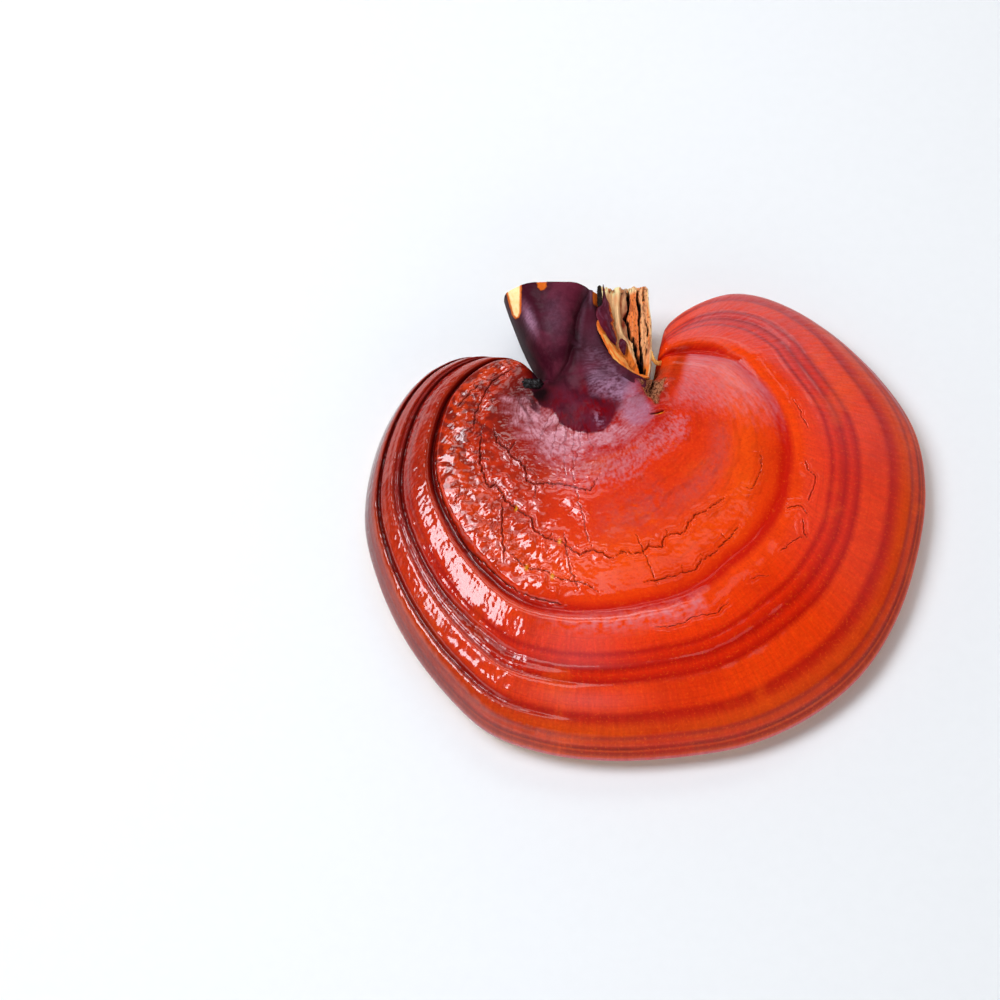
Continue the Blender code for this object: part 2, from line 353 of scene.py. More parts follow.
class Shade:
    """A material under construction: each method adds one node and returns its output."""

    def __init__(self, name: str) -> None:
        """Start a node material that holds only a Principled shader and its output.

        Args:
            name: the material's name.
        """
        self.material = bpy.data.materials.new(name)
        self.material.use_nodes = True
        self.tree = self.material.node_tree
        self.shader = self.tree.nodes["Principled BSDF"]

    def put(self, value: Feed, socket: Socket) -> None:
        """Link an output to an input, or set the input's own value.

        Args:
            value: another node's output, or a number, vector or colour.
            socket: the input.
        """
        if isinstance(value, Socket):
            self.tree.links.new(value, socket)
        else:
            socket.default_value = value

    def node(self, kind: str, feeds: dict[str | int, Feed], out: str | int = 0,
             **settings: str | bool) -> Socket:
        """Add a node.

        Args:
            kind: the node's type, without its first word.
            feeds: what goes into its inputs, by their name or number.
            out: the output that is wanted, by name or number.
            **settings: the node's own options.

        Returns:
            That output.
        """
        node = self.tree.nodes.new("ShaderNode" + kind)
        for name, value in settings.items():
            setattr(node, name, value)
        for name, value in feeds.items():
            self.put(value, node.inputs[name])
        return node.outputs[out]

    def set(self, **inputs: Socket | float | tuple) -> None:
        """Fill the Principled shader's inputs; an underscore in a name stands for a space."""
        for name, value in inputs.items():
            self.put(value, self.shader.inputs[name.replace("_", " ")])

    def place(self) -> Socket:
        """The point's own place on the piece, in metres."""
        return self.node("TexCoord", {}, "Object")

    def growth(self) -> tuple[Socket, Socket]:
        """The piece's UV map, as (turn, ring)."""
        uv = self.node("UVMap", {}, uv_map="growth")
        return tuple(self.node("SeparateXYZ", {0: uv}, axis) for axis in (0, 1))

    def mark(self, name: str) -> Socket:
        """A scalar attribute of the mesh."""
        return self.node("Attribute", {}, "Fac", attribute_name=name)

    def join(self, x: Feed, y: Feed, z: Feed = 0) -> Socket:
        """Three numbers as one vector."""
        return self.node("CombineXYZ", {0: x, 1: y, 2: z})

    def math(self, operation: str, a: Feed, b: Feed = 0, clamp: bool = False) -> Socket:
        """One sum of two numbers, held between 0 and 1 with clamp."""
        return self.node("Math", {0: a, 1: b}, operation=operation, use_clamp=clamp)

    def times(self, a: Feed, b: Feed) -> Socket:
        """Two numbers multiplied."""
        return self.math("MULTIPLY", a, b)

    def plus(self, a: Feed, b: Feed, clamp: bool = False) -> Socket:
        """Two numbers added."""
        return self.math("ADD", a, b, clamp)

    def less(self, a: Feed, b: Feed, clamp: bool = False) -> Socket:
        """The second number taken from the first."""
        return self.math("SUBTRACT", a, b, clamp)

    def most(self, a: Feed, b: Feed) -> Socket:
        """The larger of two numbers."""
        return self.math("MAXIMUM", a, b)

    def between(self, value: Socket, low: float, high: float, to_low: float = 0.0,
                to_high: float = 1.0) -> Socket:
        """A number carried smoothly from one range to another and held at its ends."""
        feeds = {"Value": value, "From Min": low, "From Max": high, "To Min": to_low, "To Max": to_high}
        return self.node("MapRange", feeds, interpolation_type="SMOOTHSTEP")

    def mix(self, share: Feed, a: Feed, b: Feed, blend: str = "MIX") -> Socket:
        """Two colours mixed."""
        return self.node("Mix", {0: share, 6: a, 7: b}, 2, data_type="RGBA", blend_type=blend)

    def coat(self, share: Feed, under: Feed, over: Colour) -> Socket:
        """A screen colour laid over another colour."""
        return self.mix(share, under, paint(over))

    def ramp(self, value: Socket, stops: tuple[tuple[float, Colour], ...]) -> Socket:
        """A colour for each value.

        Args:
            value: the number to read the ramp at.
            stops: the ramp's (value, screen colour) pairs.

        Returns:
            The colour's output.
        """
        colour = self.node("ValToRGB", {0: value})
        band = colour.node.color_ramp
        while len(band.elements) < len(stops):
            band.elements.new(0.5)
        for element, (position, shade) in zip(band.elements, stops):
            element.position = position
            element.color = paint(shade)
        return colour

    def grain(self, vector: Socket, scale: float, detail: float = 2.0, roughness: float = 0.5,
              twist: float = 0.0) -> Socket:
        """Fractal noise from 0 to 1, scale features to the unit."""
        feeds = {"Vector": vector, "Scale": scale, "Detail": detail, "Roughness": roughness}
        return self.node("TexNoise", feeds | {"Distortion": twist}, "Fac")

    def hair(self, x: Socket, along: float, y: Socket, across: float, detail: float = 2.0,
             roughness: float = 0.5) -> Socket:
        """Fractal noise over two numbers: along features to the unit of x, across to the unit of y."""
        return self.grain(self.join(self.times(x, along), self.times(y, across)), 1, detail, roughness)

    def relief(self, height: Socket, depth: float, under: Socket | None = None) -> Socket:
        """Bump from a height of 0 to 1 that stands for depth millimetres, over another bump if given."""
        feeds = {"Distance": depth * MM, "Height": height}
        return self.node("Bump", feeds if under is None else feeds | {"Normal": under})


@dataclass(frozen=True)
class DarkSkin:
    """The purple-black skin of the stem, which runs out over the cap as a wine-red tongue."""

    purple: Colour = (60, 10, 26)
    plum: Colour = (98, 32, 50)
    rose: Colour = (140, 80, 98)
    wine: Colour = (116, 3, 14)
    # pitch black, also the colour of painted shade
    pitch: Colour = (24, 7, 10)
    bloom_and_sheen: Colour = (170, 122, 148)

    def colour(self, s: Shade, place: Socket) -> Socket:
        """The skin's colour: clouds of purple and plum, under wine red, a painted pale sheen and highlights,
        and pitch black that also carries painted shade.

        Args:
            s: the material being wired.
            place: the point's own place, in metres.

        Returns:
            The colour's output.
        """
        cloud = s.grain(place, 110, 4, 0.6, 0.3)
        fine = s.grain(place, 1300, 3, 0.7)
        veins = s.grain(place, 260, 3, 0.6, 0.3)
        colour = s.coat(s.between(cloud, 0.36, 0.66), paint(self.purple), self.plum)
        colour = s.coat(s.between(fine, 0.5, 0.8, 0, 0.1), colour, self.rose)
        colour = s.coat(s.times(s.mark("wine"), s.between(veins, 0.36, 0.62, 0.3, 1)), colour, self.wine)
        # painted sheen and highlights, laid on in the pale colour
        colour = s.coat(s.times(s.mark("painted_sheen"), s.between(fine, 0.34, 0.62, 0.7, 1)), colour, self.bloom_and_sheen)
        return s.coat(s.mark("pitch"), colour, self.pitch)


@dataclass(frozen=True)
class CapLacquer:
    """The cap's lacquer: growth bands from red at the hub over orange to a purple line at the margin."""

    bands: tuple[tuple[float, Colour], ...] = (
        (0, (148, 14, 18)), (0.12, (188, 28, 20)), (0.22, (228, 52, 14)), (0.34, (230, 56, 12)),
        (0.47, (246, 72, 8)), (0.548, (238, 58, 6)), (0.57, (208, 26, 4)), (0.59, (204, 24, 4)),
        (0.61, (248, 68, 10)), (0.655, (246, 60, 4)), (0.702, (240, 52, 4)), (0.716, (190, 18, 2)),
        (0.73, (230, 42, 2)), (0.758, (180, 14, 2)), (0.776, (226, 40, 2)), (0.797, (184, 16, 2)),
        (0.814, (240, 60, 4)), (0.876, (236, 58, 4)), (0.893, (180, 24, 8)), (0.908, (192, 36, 10)),
        (0.928, (218, 66, 14)), (0.947, (212, 66, 14)), (0.955, (160, 36, 18)), (0.963, (204, 60, 14)),
        (0.974, (202, 56, 18)), (0.979, (96, 18, 26)), (0.985, (204, 68, 26)), (0.99, (120, 26, 30)),
        # the last stop, pink on the margin's silhouette, is a painted reflection
        (0.995, (204, 78, 42)), (0.998, (206, 88, 60)), (1, (196, 112, 122)),
    )
    skin: DarkSkin = DarkSkin()
    line: Colour = (196, 30, 8)
    red: Colour = (196, 26, 6)
    orange: Colour = (252, 92, 10)
    spark: Colour = (254, 104, 20)
    # the dark red of painted shadow and shade, and of darker tone
    deep: Colour = (104, 12, 8)
    crack: Colour = (40, 8, 6)
    fleck: Colour = (246, 170, 20)
    # the pale colour of the painted sheen and highlights
    bloom_and_sheen: Colour = (214, 146, 158)
    # the colour of the painted mauve sheen beside the dust
    mauve: Colour = (174, 126, 156)
    suede: tuple[Colour, Colour] = ((74, 30, 22), (190, 122, 86))
    flesh: tuple[Colour, Colour] = ((236, 140, 50), (255, 222, 146))

    def make(self) -> Material:
        """Wire the material. Bands follow the ring coordinate; marks lay the other colours over them.

        Returns:
            The material.
        """
        s = Shade("cap_lacquer")
        place = s.place()
        turn, ring = s.growth()
        fibre = s.hair(turn, 330, ring, 14, 3, 0.65)
        colour = self.colour(s, place, turn, ring, fibre)
        dull = s.most(s.mark("dust"), s.most(s.mark("bare"), s.mark("crack")))
        satin = s.most(s.mark("satin"), s.times(s.mark("tongue"), 1.79))
        rough = s.plus(s.between(s.grain(place, 300, 3), 0.3, 0.75, 0.26, 0.4), s.times(satin, 0.18))
        normal = s.relief(s.times(s.grain(place, 1500, 3, 0.6), s.mark("peel")), 0.17)
        normal = s.relief(s.times(s.hair(turn, 900, ring, 26), s.mark("bands")), 0.045, normal)
        normal = s.relief(s.times(s.grain(place, 2200, 4, 0.7), dull), 0.3, normal)
        s.set(Base_Color=colour, Roughness=s.plus(rough, s.times(dull, 0.4), True), Normal=normal,
              Coat_Weight=s.less(s.less(1, dull, True), s.times(satin, 0.55), True),
              Coat_Roughness=0.1, Coat_IOR=1.6, Specular_IOR_Level=0.02)
        return s.material

    def colour(self, s: Shade, place: Socket, turn: Socket, ring: Socket, fibre: Socket) -> Socket:
        """The lacquer's colour.

        Args:
            s: the material being wired.
            place: the point's own place, in metres.
            turn: the turn coordinate.
            ring: the ring coordinate.
            fibre: fine radial streaks, from 0 to 1.

        Returns:
            The colour's output.
        """
        drift = s.times(s.less(s.grain(place, 120), 0.5), 0.008)
        waver = s.times(s.less(fibre, 0.5), 0.005)
        calm = s.between(ring, 0.9, 0.96, 1, 0.12)
        colour = s.ramp(s.plus(ring, s.times(calm, s.plus(drift, waver))), self.bands)
        lines = s.hair(ring, 190, turn, 7, 2, 0.6)
        colour = s.coat(s.times(s.between(lines, 0.5, 0.68, 0, 0.35), s.mark("bands")), colour, self.line)
        mottle = s.grain(place, 55, 4, 0.6, 0.4)
        colour = s.coat(s.between(mottle, 0.48, 0.72, 0, 0.38), colour, self.red)
        colour = s.coat(s.between(mottle, 0.3, 0.46, 0.3, 0), colour, self.orange)
        specks = s.grain(place, 1500, 3, 0.7)
        colour = s.coat(s.between(specks, 0.5, 0.72, 0, 0.34), colour, self.red)
        colour = s.coat(s.between(specks, 0.28, 0.46, 0.3, 0), colour, self.spark)
        streak = s.between(fibre, 0.35, 0.7, 0.84, 1.06)
        combed = s.mix(1, colour, s.join(streak, streak, streak), "MULTIPLY")
        colour = s.mix(s.mark("bands"), colour, combed)
        # painted shadow and shade, with some darker tone
        colour = s.coat(s.mark("shade"), colour, self.deep)
        # painted sheen and highlights, in part a real pale waxy film
        colour = s.coat(s.mark("bloom_and_sheen"), colour, self.bloom_and_sheen)
        colour = s.mix(s.mark("tongue"), colour, self.skin.colour(s, place))
        for mark in ("mauve", "crack", "fleck"):
            colour = s.coat(s.mark(mark), colour, getattr(self, mark))
        grit = s.between(s.grain(place, 1500, 4, 0.8), 0.4, 0.62)
        colour = s.mix(s.mark("dust"), colour, s.coat(grit, paint(self.suede[0]), self.suede[1]))
        pulp = s.grain(place, 700, 3, 0.6)
        return s.mix(s.mark("bare"), colour, s.coat(pulp, paint(self.flesh[0]), self.flesh[1]))


@dataclass(frozen=True)
class PoreFlesh:
    """The pore face: cream to tan, browner in rings and at the margin, with fine round pores."""

    cream: Colour = (232, 208, 160)
    tan: Colour = (196, 150, 92)
    stain: Colour = (142, 88, 48)
    rim: Colour = (206, 128, 72)
    foot: Colour = (90, 30, 30)
    pores_per_metre: float = 2300.0

    def make(self) -> Material:
        """Wire the material. Pores are the hollows of scattered cells.

        Returns:
            The material.
        """
        s = Shade("pore_flesh")
        place = s.place()
        _, ring = s.growth()
        pore = s.node("TexVoronoi", {"Vector": place, "Scale": self.pores_per_metre}, "Distance")
        rings = s.grain(s.join(s.times(ring, 30), 0), 1)
        colour = s.coat(s.grain(place, 60, 5, 0.6), paint(self.cream), self.tan)
        colour = s.coat(s.between(rings, 0.45, 0.7, 0, 0.35), colour, self.stain)
        colour = s.coat(s.between(ring, 0.93, 1, 0, 0.75), colour, self.rim)
        colour = s.coat(s.between(pore, 0.1, 0.4, 0.45, 0), colour, self.stain)
        colour = s.coat(s.mark("tongue"), colour, self.foot)
        normal = s.relief(s.between(pore, 0.05, 0.5), 0.12)
        normal = s.relief(s.grain(place, 250, 4, 0.6), 0.25, normal)
        s.set(Base_Color=colour, Roughness=0.72, Normal=normal, Specular_IOR_Level=0.3)
        return s.material


@dataclass(frozen=True)
class StemLacquer:
    """The stem's satin skin, with pale flesh where it is chipped."""

    skin: DarkSkin = DarkSkin()
    shallow: tuple[Colour, Colour] = ((190, 70, 20), (240, 124, 40))
    flesh: tuple[Colour, Colour] = ((250, 196, 84), (255, 250, 206))

    def make(self) -> Material:
        """Wire the material. Marks name the chips, amber where they are shallow.

        Returns:
            The material.
        """
        s = Shade("stem_lacquer")
        place = s.place()
        fine = s.grain(place, 700, 3, 0.6)
        colour = self.skin.colour(s, place)
        for mark, (low, high) in (("amber", self.shallow), ("bare", self.flesh)):
            colour = s.mix(s.mark(mark), colour, s.coat(fine, paint(low), high))
        dull = s.most(s.mark("bare"), s.mark("amber"))
        normal = s.relief(s.grain(place, 900, 3, 0.6), 0.05)
        normal = s.relief(s.times(fine, dull), 0.3, normal)
        s.set(Base_Color=colour, Roughness=s.plus(0.5, s.times(dull, 0.2)), Normal=normal,
            Coat_Weight=s.less(0.05, dull, True), Coat_Roughness=0.25, Coat_IOR=1.5, Specular_IOR_Level=0.02)
        return s.material


@dataclass(frozen=True)
class CorkFlesh:
    """The stem's cut end: corky flesh with rays, pale at the rim and brown in the middle."""

    rim: Colour = (222, 170, 98)
    core: Colour = (142, 84, 44)
    ray: Colour = (96, 52, 28)
    fleck: Colour = (244, 210, 146)
    bark: Colour = (70, 24, 26)

    def make(self) -> Material:
        """Wire the material. The piece's UV map holds (angle, distance from the middle).

        Returns:
            The material.
        """
        s = Shade("cork_flesh")
        place = s.place()
        turn, out = s.growth()
        rays = s.hair(turn, 60, out, 2, 3, 0.6)
        colour = s.coat(s.between(out, 0.2, 0.95), paint(self.core), self.rim)
        colour = s.coat(s.between(rays, 0.45, 0.75, 0, 0.5), colour, self.ray)
        colour = s.coat(s.between(s.grain(place, 500, 4, 0.7), 0.55, 0.75, 0, 0.5), colour, self.fleck)
        colour = s.coat(s.between(out, 0.9, 0.985), colour, self.bark)
        normal = s.relief(rays, 0.25, s.relief(s.grain(place, 900, 4, 0.7), 0.3))
        s.set(Base_Color=colour, Roughness=0.78, Normal=normal, Specular_IOR_Level=0.25)
        return s.material


@dataclass(frozen=True)
class SplitGrain:
    """Torn wood: long fibres, with marks for where it is tan, amber, rusty, bright or dark; rust and dark
    also hold painted shade, and on the strips bright holds a painted highlight.
    """

    name: str = "torn_wood"
    cream: Colour = (255, 206, 148)
    tan: Colour = (240, 122, 56)
    amber: Colour = (252, 136, 44)
    rust: Colour = (136, 40, 16)
    bright: Colour = (255, 240, 180)
    split: Colour = (30, 12, 12)

    def make(self) -> Material:
        """Wire the material. Fibres run along +Y, nearly thirty times as long as they are wide.

        Returns:
            The material.
        """
        s = Shade(self.name)
        place = s.place()
        drawn = s.node("Mapping", {"Vector": place, "Scale": (1700, 60, 1700)})
        fibres = s.grain(drawn, 1, 4, 0.65, 0.3)
        fine = s.grain(place, 1400, 3, 0.7)
        colour = paint(self.cream)
        for mark in ("tan", "amber", "bright", "rust"):
            colour = s.coat(s.mark(mark), colour, getattr(self, mark))
        colour = s.coat(s.between(fibres, 0.42, 0.75, 0, 0.32), colour, self.rust)
        colour = s.coat(s.between(fine, 0.55, 0.75, 0, 0.2), colour, self.rust)
        colour = s.coat(s.mark("split"), colour, self.split)
        normal = s.relief(fibres, 0.25, s.relief(fine, 0.12))
        s.set(Base_Color=colour, Roughness=0.55, Normal=normal, Specular_IOR_Level=0.2)
        return s.material


@dataclass(frozen=True)
class PitchSkin:
    """Skin dried to black: wet and glossy on the knob in the left notch, matt on the bark's sliver."""

    name: str = "pitch_skin"
    dark: Colour = (13, 7, 10)
    light: Colour = (34, 20, 24)
    gloss: float = 0.5
    roughness: float = 0.5

    def make(self) -> Material:
        """Wire the material.

        Returns:
            The material.
        """
        s = Shade(self.name)
        grit = s.grain(s.place(), 900, 4, 0.7)
        s.set(Base_Color=s.coat(s.between(grit, 0.5, 0.8), paint(self.dark), self.light),
            Roughness=self.roughness, Coat_Weight=self.gloss, Coat_Roughness=0.08, Specular_IOR_Level=0.1,
            Normal=s.relief(grit, 0.03))
        return s.material


@dataclass(frozen=True)
class Paper:
    """The pale matt table that the mushroom lies on, which glows towards its far edge as a lit cove does."""

    white: Colour = (250, 250, 250)
    tooth: Colour = (247, 247, 247)

    def make(self) -> Material:
        """Wire the material. The glow rises with the distance from the middle.

        Returns:
            The material.
        """
        s = Shade("pale_table")
        place = s.place()
        far = s.node("VectorMath", {0: place}, "Value", operation="LENGTH")
        s.set(Base_Color=s.coat(s.grain(place, 300, 3), paint(self.white), self.tooth), Roughness=0.9,
              Specular_IOR_Level=0.1, Emission_Color=(1, 1, 1, 1),
              Emission_Strength=s.between(far, 0.3, 1.5, 0, 0.95))
        return s.material


# ---- the cap's form

@dataclass(frozen=True)
class Facet:
    """A patch of lacquer tilted towards the left: its middle, its reach in millimetres and its slope."""

    turn: float
    growth: float
    reach: float
    slope: float = 0.34


FACETS: tuple[Facet, ...] = tuple(Facet(*sizes) for sizes in (
    (0.235, 0.236, 1.3, 0.3), (0.258, 0.222, 1.4, 0.3), (0.284, 0.226, 1.4, 0.3), (0.312, 0.236, 1.5, 0.3),
    (0.252, 0.325, 2.1), (0.275, 0.318, 2, 0.3), (0.3, 0.32, 1.8, 0.32), (0.322, 0.29, 1.6, 0.3),
    (0.262, 0.43, 2.2), (0.281, 0.405, 2.6, 0.36), (0.284, 0.46, 1.9), (0.304, 0.385, 1.7, 0.32),
    (0.324, 0.412, 2.4), (0.343, 0.426, 2.8, 0.36), (0.362, 0.405, 2.2), (0.38, 0.44, 1.7, 0.32),
    (0.232, 0.44, 1.5, 0.32), (0.224, 0.5, 1.3, 0.32), (0.247, 0.545, 1.4, 0.32), (0.27, 0.54, 2, 0.36),
    (0.292, 0.55, 1.6), (0.33, 0.492, 1.5, 0.32), (0.352, 0.53, 2.1, 0.36), (0.367, 0.545, 1.6),
    (0.372, 0.25, 1.2, 0.3), (0.388, 0.275, 1.4, 0.32), (0.401, 0.295, 1.2, 0.32), (0.35, 0.33, 1.4, 0.3),
    (0.395, 0.5, 1.3, 0.3), (0.412, 0.42, 1.2, 0.28), (0.13, 0.3, 2, 0.24), (0.16, 0.42, 2.2, 0.26),
    (0.18, 0.5, 1.8, 0.26), (0.1, 0.45, 1.8, 0.22), (0.195, 0.38, 1.6, 0.28), (0.06, 0.36, 1.6, 0.2),
))


@dataclass(frozen=True)
class Crack:
    """A crack in the lacquer, through points of (turn, growth) in thousandths, its sizes in millimetres."""

    points: Pairs
    width: float = 0.3
    depth: float = 0.45
    lip: float = 0.1
    jag: float = 1.0


@dataclass
class StemForm:
    """The stem's outer form, shared by the stem and by the cap's fillet round it.

    left, right, underside and top are tables over y. thumb (the raised lobe), tongue (how far the dark skin
    runs over the cap) and gloss (where a sheen is painted on it) are outlines in plan. nothing is a height
    far below the cap.
    """

    left: Pairs = ((22, -22), (30, -25.6), (37, -27.6), (40, -29.6), (46, -32.8), (57, -37.2), (61, -38.4))
    right: Pairs = ((22, -2), (30, 0.6), (33, 0.2), (34.6, -2.6), (37, -6), (40, -8.6), (46, -11.6),
        (52, -12), (61, -12.6))
    underside: Pairs = ((22, 1), (33, 1), (40, 2), (48, 4), (61, 6.6))
    top: Pairs = ((20, 6), (23, 16), (26, 21.8), (29, 23.6), (34, 24.7), (42, 25.6), (50, 27.2), (61, 29.5))
    round_power: float = 2.7
    boxy_power: float = 5.0
    cut_lean: float = 0.2
    thumb: Pairs = ((-15.2, 63), (-15.7, 58.3), (-17.4, 54.1), (-18.9, 49.4), (-20, 41.6), (-21.3, 37),
        (-23, 34.4), (-25.6, 32.7), (-28.6, 32.3), (-31.4, 34), (-36, 42), (-44, 52), (-44, 63))
    thumb_rise: float = 3.1
    thumb_round: float = 9.5
    tongue: Pairs = ((-31, 31.5), (-29, 26.5), (-25.3, 24.7), (-23.4, 20.2), (-20.1, 18.4), (-16.1, 17),
        (-12, 17.5), (-9.5, 20.2), (-5.8, 23.3), (-3.7, 28.3), (-2, 33.5), (-8, 44), (-30, 44))
    gloss: Pairs = ((-17, 43), (-11.8, 42), (-8, 36.5), (-4.5, 31.2), (-1.2, 26), (-1.5, 23.8), (-6, 23.4),
        (-11, 26), (-15.2, 27), (-16.4, 31), (-17.6, 37))
    # pitch black at the stem's foot and round the knob in the left notch, partly painted shade
    pitch_spots: tuple[tuple[float, ...], ...] = (
        (0.85, -1, 3.4, 34.2, 0.8), (0.8, -25.5, 4.8, 32.4, 1.9), (0.9, -32, 3.2, 34, 3.4))
    nothing: float = -50.0

    def lobe(self, x: Grid, y: Grid) -> Grid:
        """The stem's thumb-shaped lobe: a pillow with a quarter-round border and a crease round its foot.

        Args:
            x, y: the points in plan.

        Returns:
            The height that the lobe adds at each point.
        """
        depth = inside(x, y, self.thumb)
        share = unit(depth / self.thumb_round)
        raised = self.thumb_rise * np.sqrt(1 - (1 - share) ** 2)
        groove = 0.7 * bump(depth, -0.2, 0.8) * step(31, 33, y)
        ridge = 0.45 * bump(x, glide(y, self.right) - 2.4, 1) * step(48, 54, y)
        return raised - groove + ridge

    def marks(self, x: Grid, y: Grid) -> Marks:
        """Where the dark skin is wine red, carries a painted sheen and highlights, and is pitch black with
        painted shade in the crease and at the foot, and how far it reaches over the cap.

        Args:
            x, y: the points in plan.

        Returns:
            The marks tongue, wine, the painted sheen and pitch (black, with painted shade), each from 0 to 1.
        """
        ragged = 0.3 * fractal(x / 2.2, y / 2.2, 201, 3)
        deep = inside(x, y, self.tongue) + ragged
        soft = 0.35 + 3 * step(-12, -6, x) * step(17, 21, y)
        cloud = 0.5 + 0.5 * fractal(x / 4, y / 3.2, 203, 3)
        vein = 0.5 + 0.5 * fractal((x + 0.25 * y) / 1, (y - 0.2 * x) / 3.4, 209, 3)
        speckle = 0.5 + 0.5 * fractal(x / 1.2, (y - 0.25 * x) / 0.55, 205, 2)
        broad = 0.5 + 0.5 * fractal(x / 4, (y - 0.25 * x) / 2.2, 206, 2)
        wine = step(32, 24, y + 0.5 * (x + 20) * (x < -20)) * (0.5 + 0.5 * step(0.3, 0.6, cloud))
        wine = np.max([
            wine * (0.8 + 0.2 * step(-19, -13, x)) * (0.35 + 0.65 * step(0.3, 0.56, vein)),
            spots(x, y, (1.2, -10.6, 3.4, 22.8, 2.6)) * (0.55 + 0.45 * step(0.2, 0.55, vein)),
            spots(x + 0.25 * (y - 30), y, (0.8, -16.8, 1.1, 30, 3.6))
        ], axis=0)
        gloss, rim = inside(x, y, self.gloss), inside(x, y, self.thumb)
        # painted sheen and highlights: the hub's wrinkled sheen, a glint on the tongue, the crease's lit
        # edge, the thumb's lit middle and its shoulder highlight
        wrinkled = step(0.22, 0.78, 0.6 * speckle + 0.4 * broad)
        glint = spots(x + 0.3 * (y - 21), y, (1, -13.3, 1.2, 20.8, 1.8))
        shoulder = spots(x + 0.43 * (y - 49), y, (1, -31.5, 1.2, 48.4, 3.4))
        sheen = (0.42 + 0.46 * step(36, 27, y)) * step(-1.2, 3, gloss) * (0.16 + 1.05 * wrinkled)
        painted_sheen = np.max([
            sheen + spots(x, y, (0.3, -3.6, 2.6, 27, 3)),
            spots(x, y, (0.16, -14, 3, 43, 5)),
            0.85 * glint * step(0.5, 0.74, 0.7 * speckle + 0.45 * vein),
            0.2 * bump(x, -17.6 + 0.12 * (y - 45), 0.7) * step(35, 39, y),
            spots(x, y, (0.18, -24.6, 3, 48, 6)) * step(-0.2, 2, rim),
            0.95 * shoulder * (0.6 + 0.4 * step(0.2, 0.8, speckle))
        ], axis=0)
        # pitch black skin, with painted shade in the crease round the thumb, beside its right column, left of
        # the tongue and at the stem's foot
        pitch = np.max([
            spots(x, y, (1.2, -28.4, 3.6, 29.6, 3.8)) + spots(x, y, (0.7, -5.2, 2.2, 31.8, 1.6)),
            spots(x, y, *self.pitch_spots),
            0.66 * bump(rim, -0.9, 1.9),
            0.46 * step(1, -1.5, rim) * step(34, 39, y)
        ], axis=0)
        # painted shade where the stem's foot meets the cap
        foot = spots(x, y, (1.3, -0.6, 3.4, 34.4, 0.9))
        stroke = fractal((0.87 * x + 0.5 * y) / 1.5, (0.5 * x - 0.87 * y) / 4.5, 207, 3)
        stroke = step(-0.05, 0.45, stroke) * spots(x, y, (1, -30.8, 3.6, 26.6, 4.4))
        reach = np.maximum(step(0, 1, deep / soft), np.clip(np.maximum(foot, stroke), 0, 0.92))
        return {"tongue": reach, "wine": unit(wine), "painted_sheen": unit(painted_sheen),
            "pitch": unit(pitch * (0.75 + 0.25 * cloud))}

    def top_height(self, x: Grid, y: Grid) -> Grid:
        """The stem's upper surface, or nothing outside its flanks.

        The section is a superellipse: z = level + rise (1 - |u|^p)^(1/p), with u from -1 to 1 across it.

        Args:
            x, y: the points in plan.

        Returns:
            The height at each point.
        """
        left, right = glide(y, self.left), glide(y, self.right)
        low, high = glide(y, self.underside), glide(y, self.top)
        u = (x - (left + right) / 2) / ((right - left) / 2)
        power = np.where(u > 0, self.boxy_power, self.round_power)
        within = unit(1 - np.abs(u) ** power)
        z = (low + high) / 2 + (high - low) / 2 * within ** (1 / power)
        return np.where(np.abs(u) < 1, z + self.lobe(x, y) * np.sqrt(within), self.nothing)


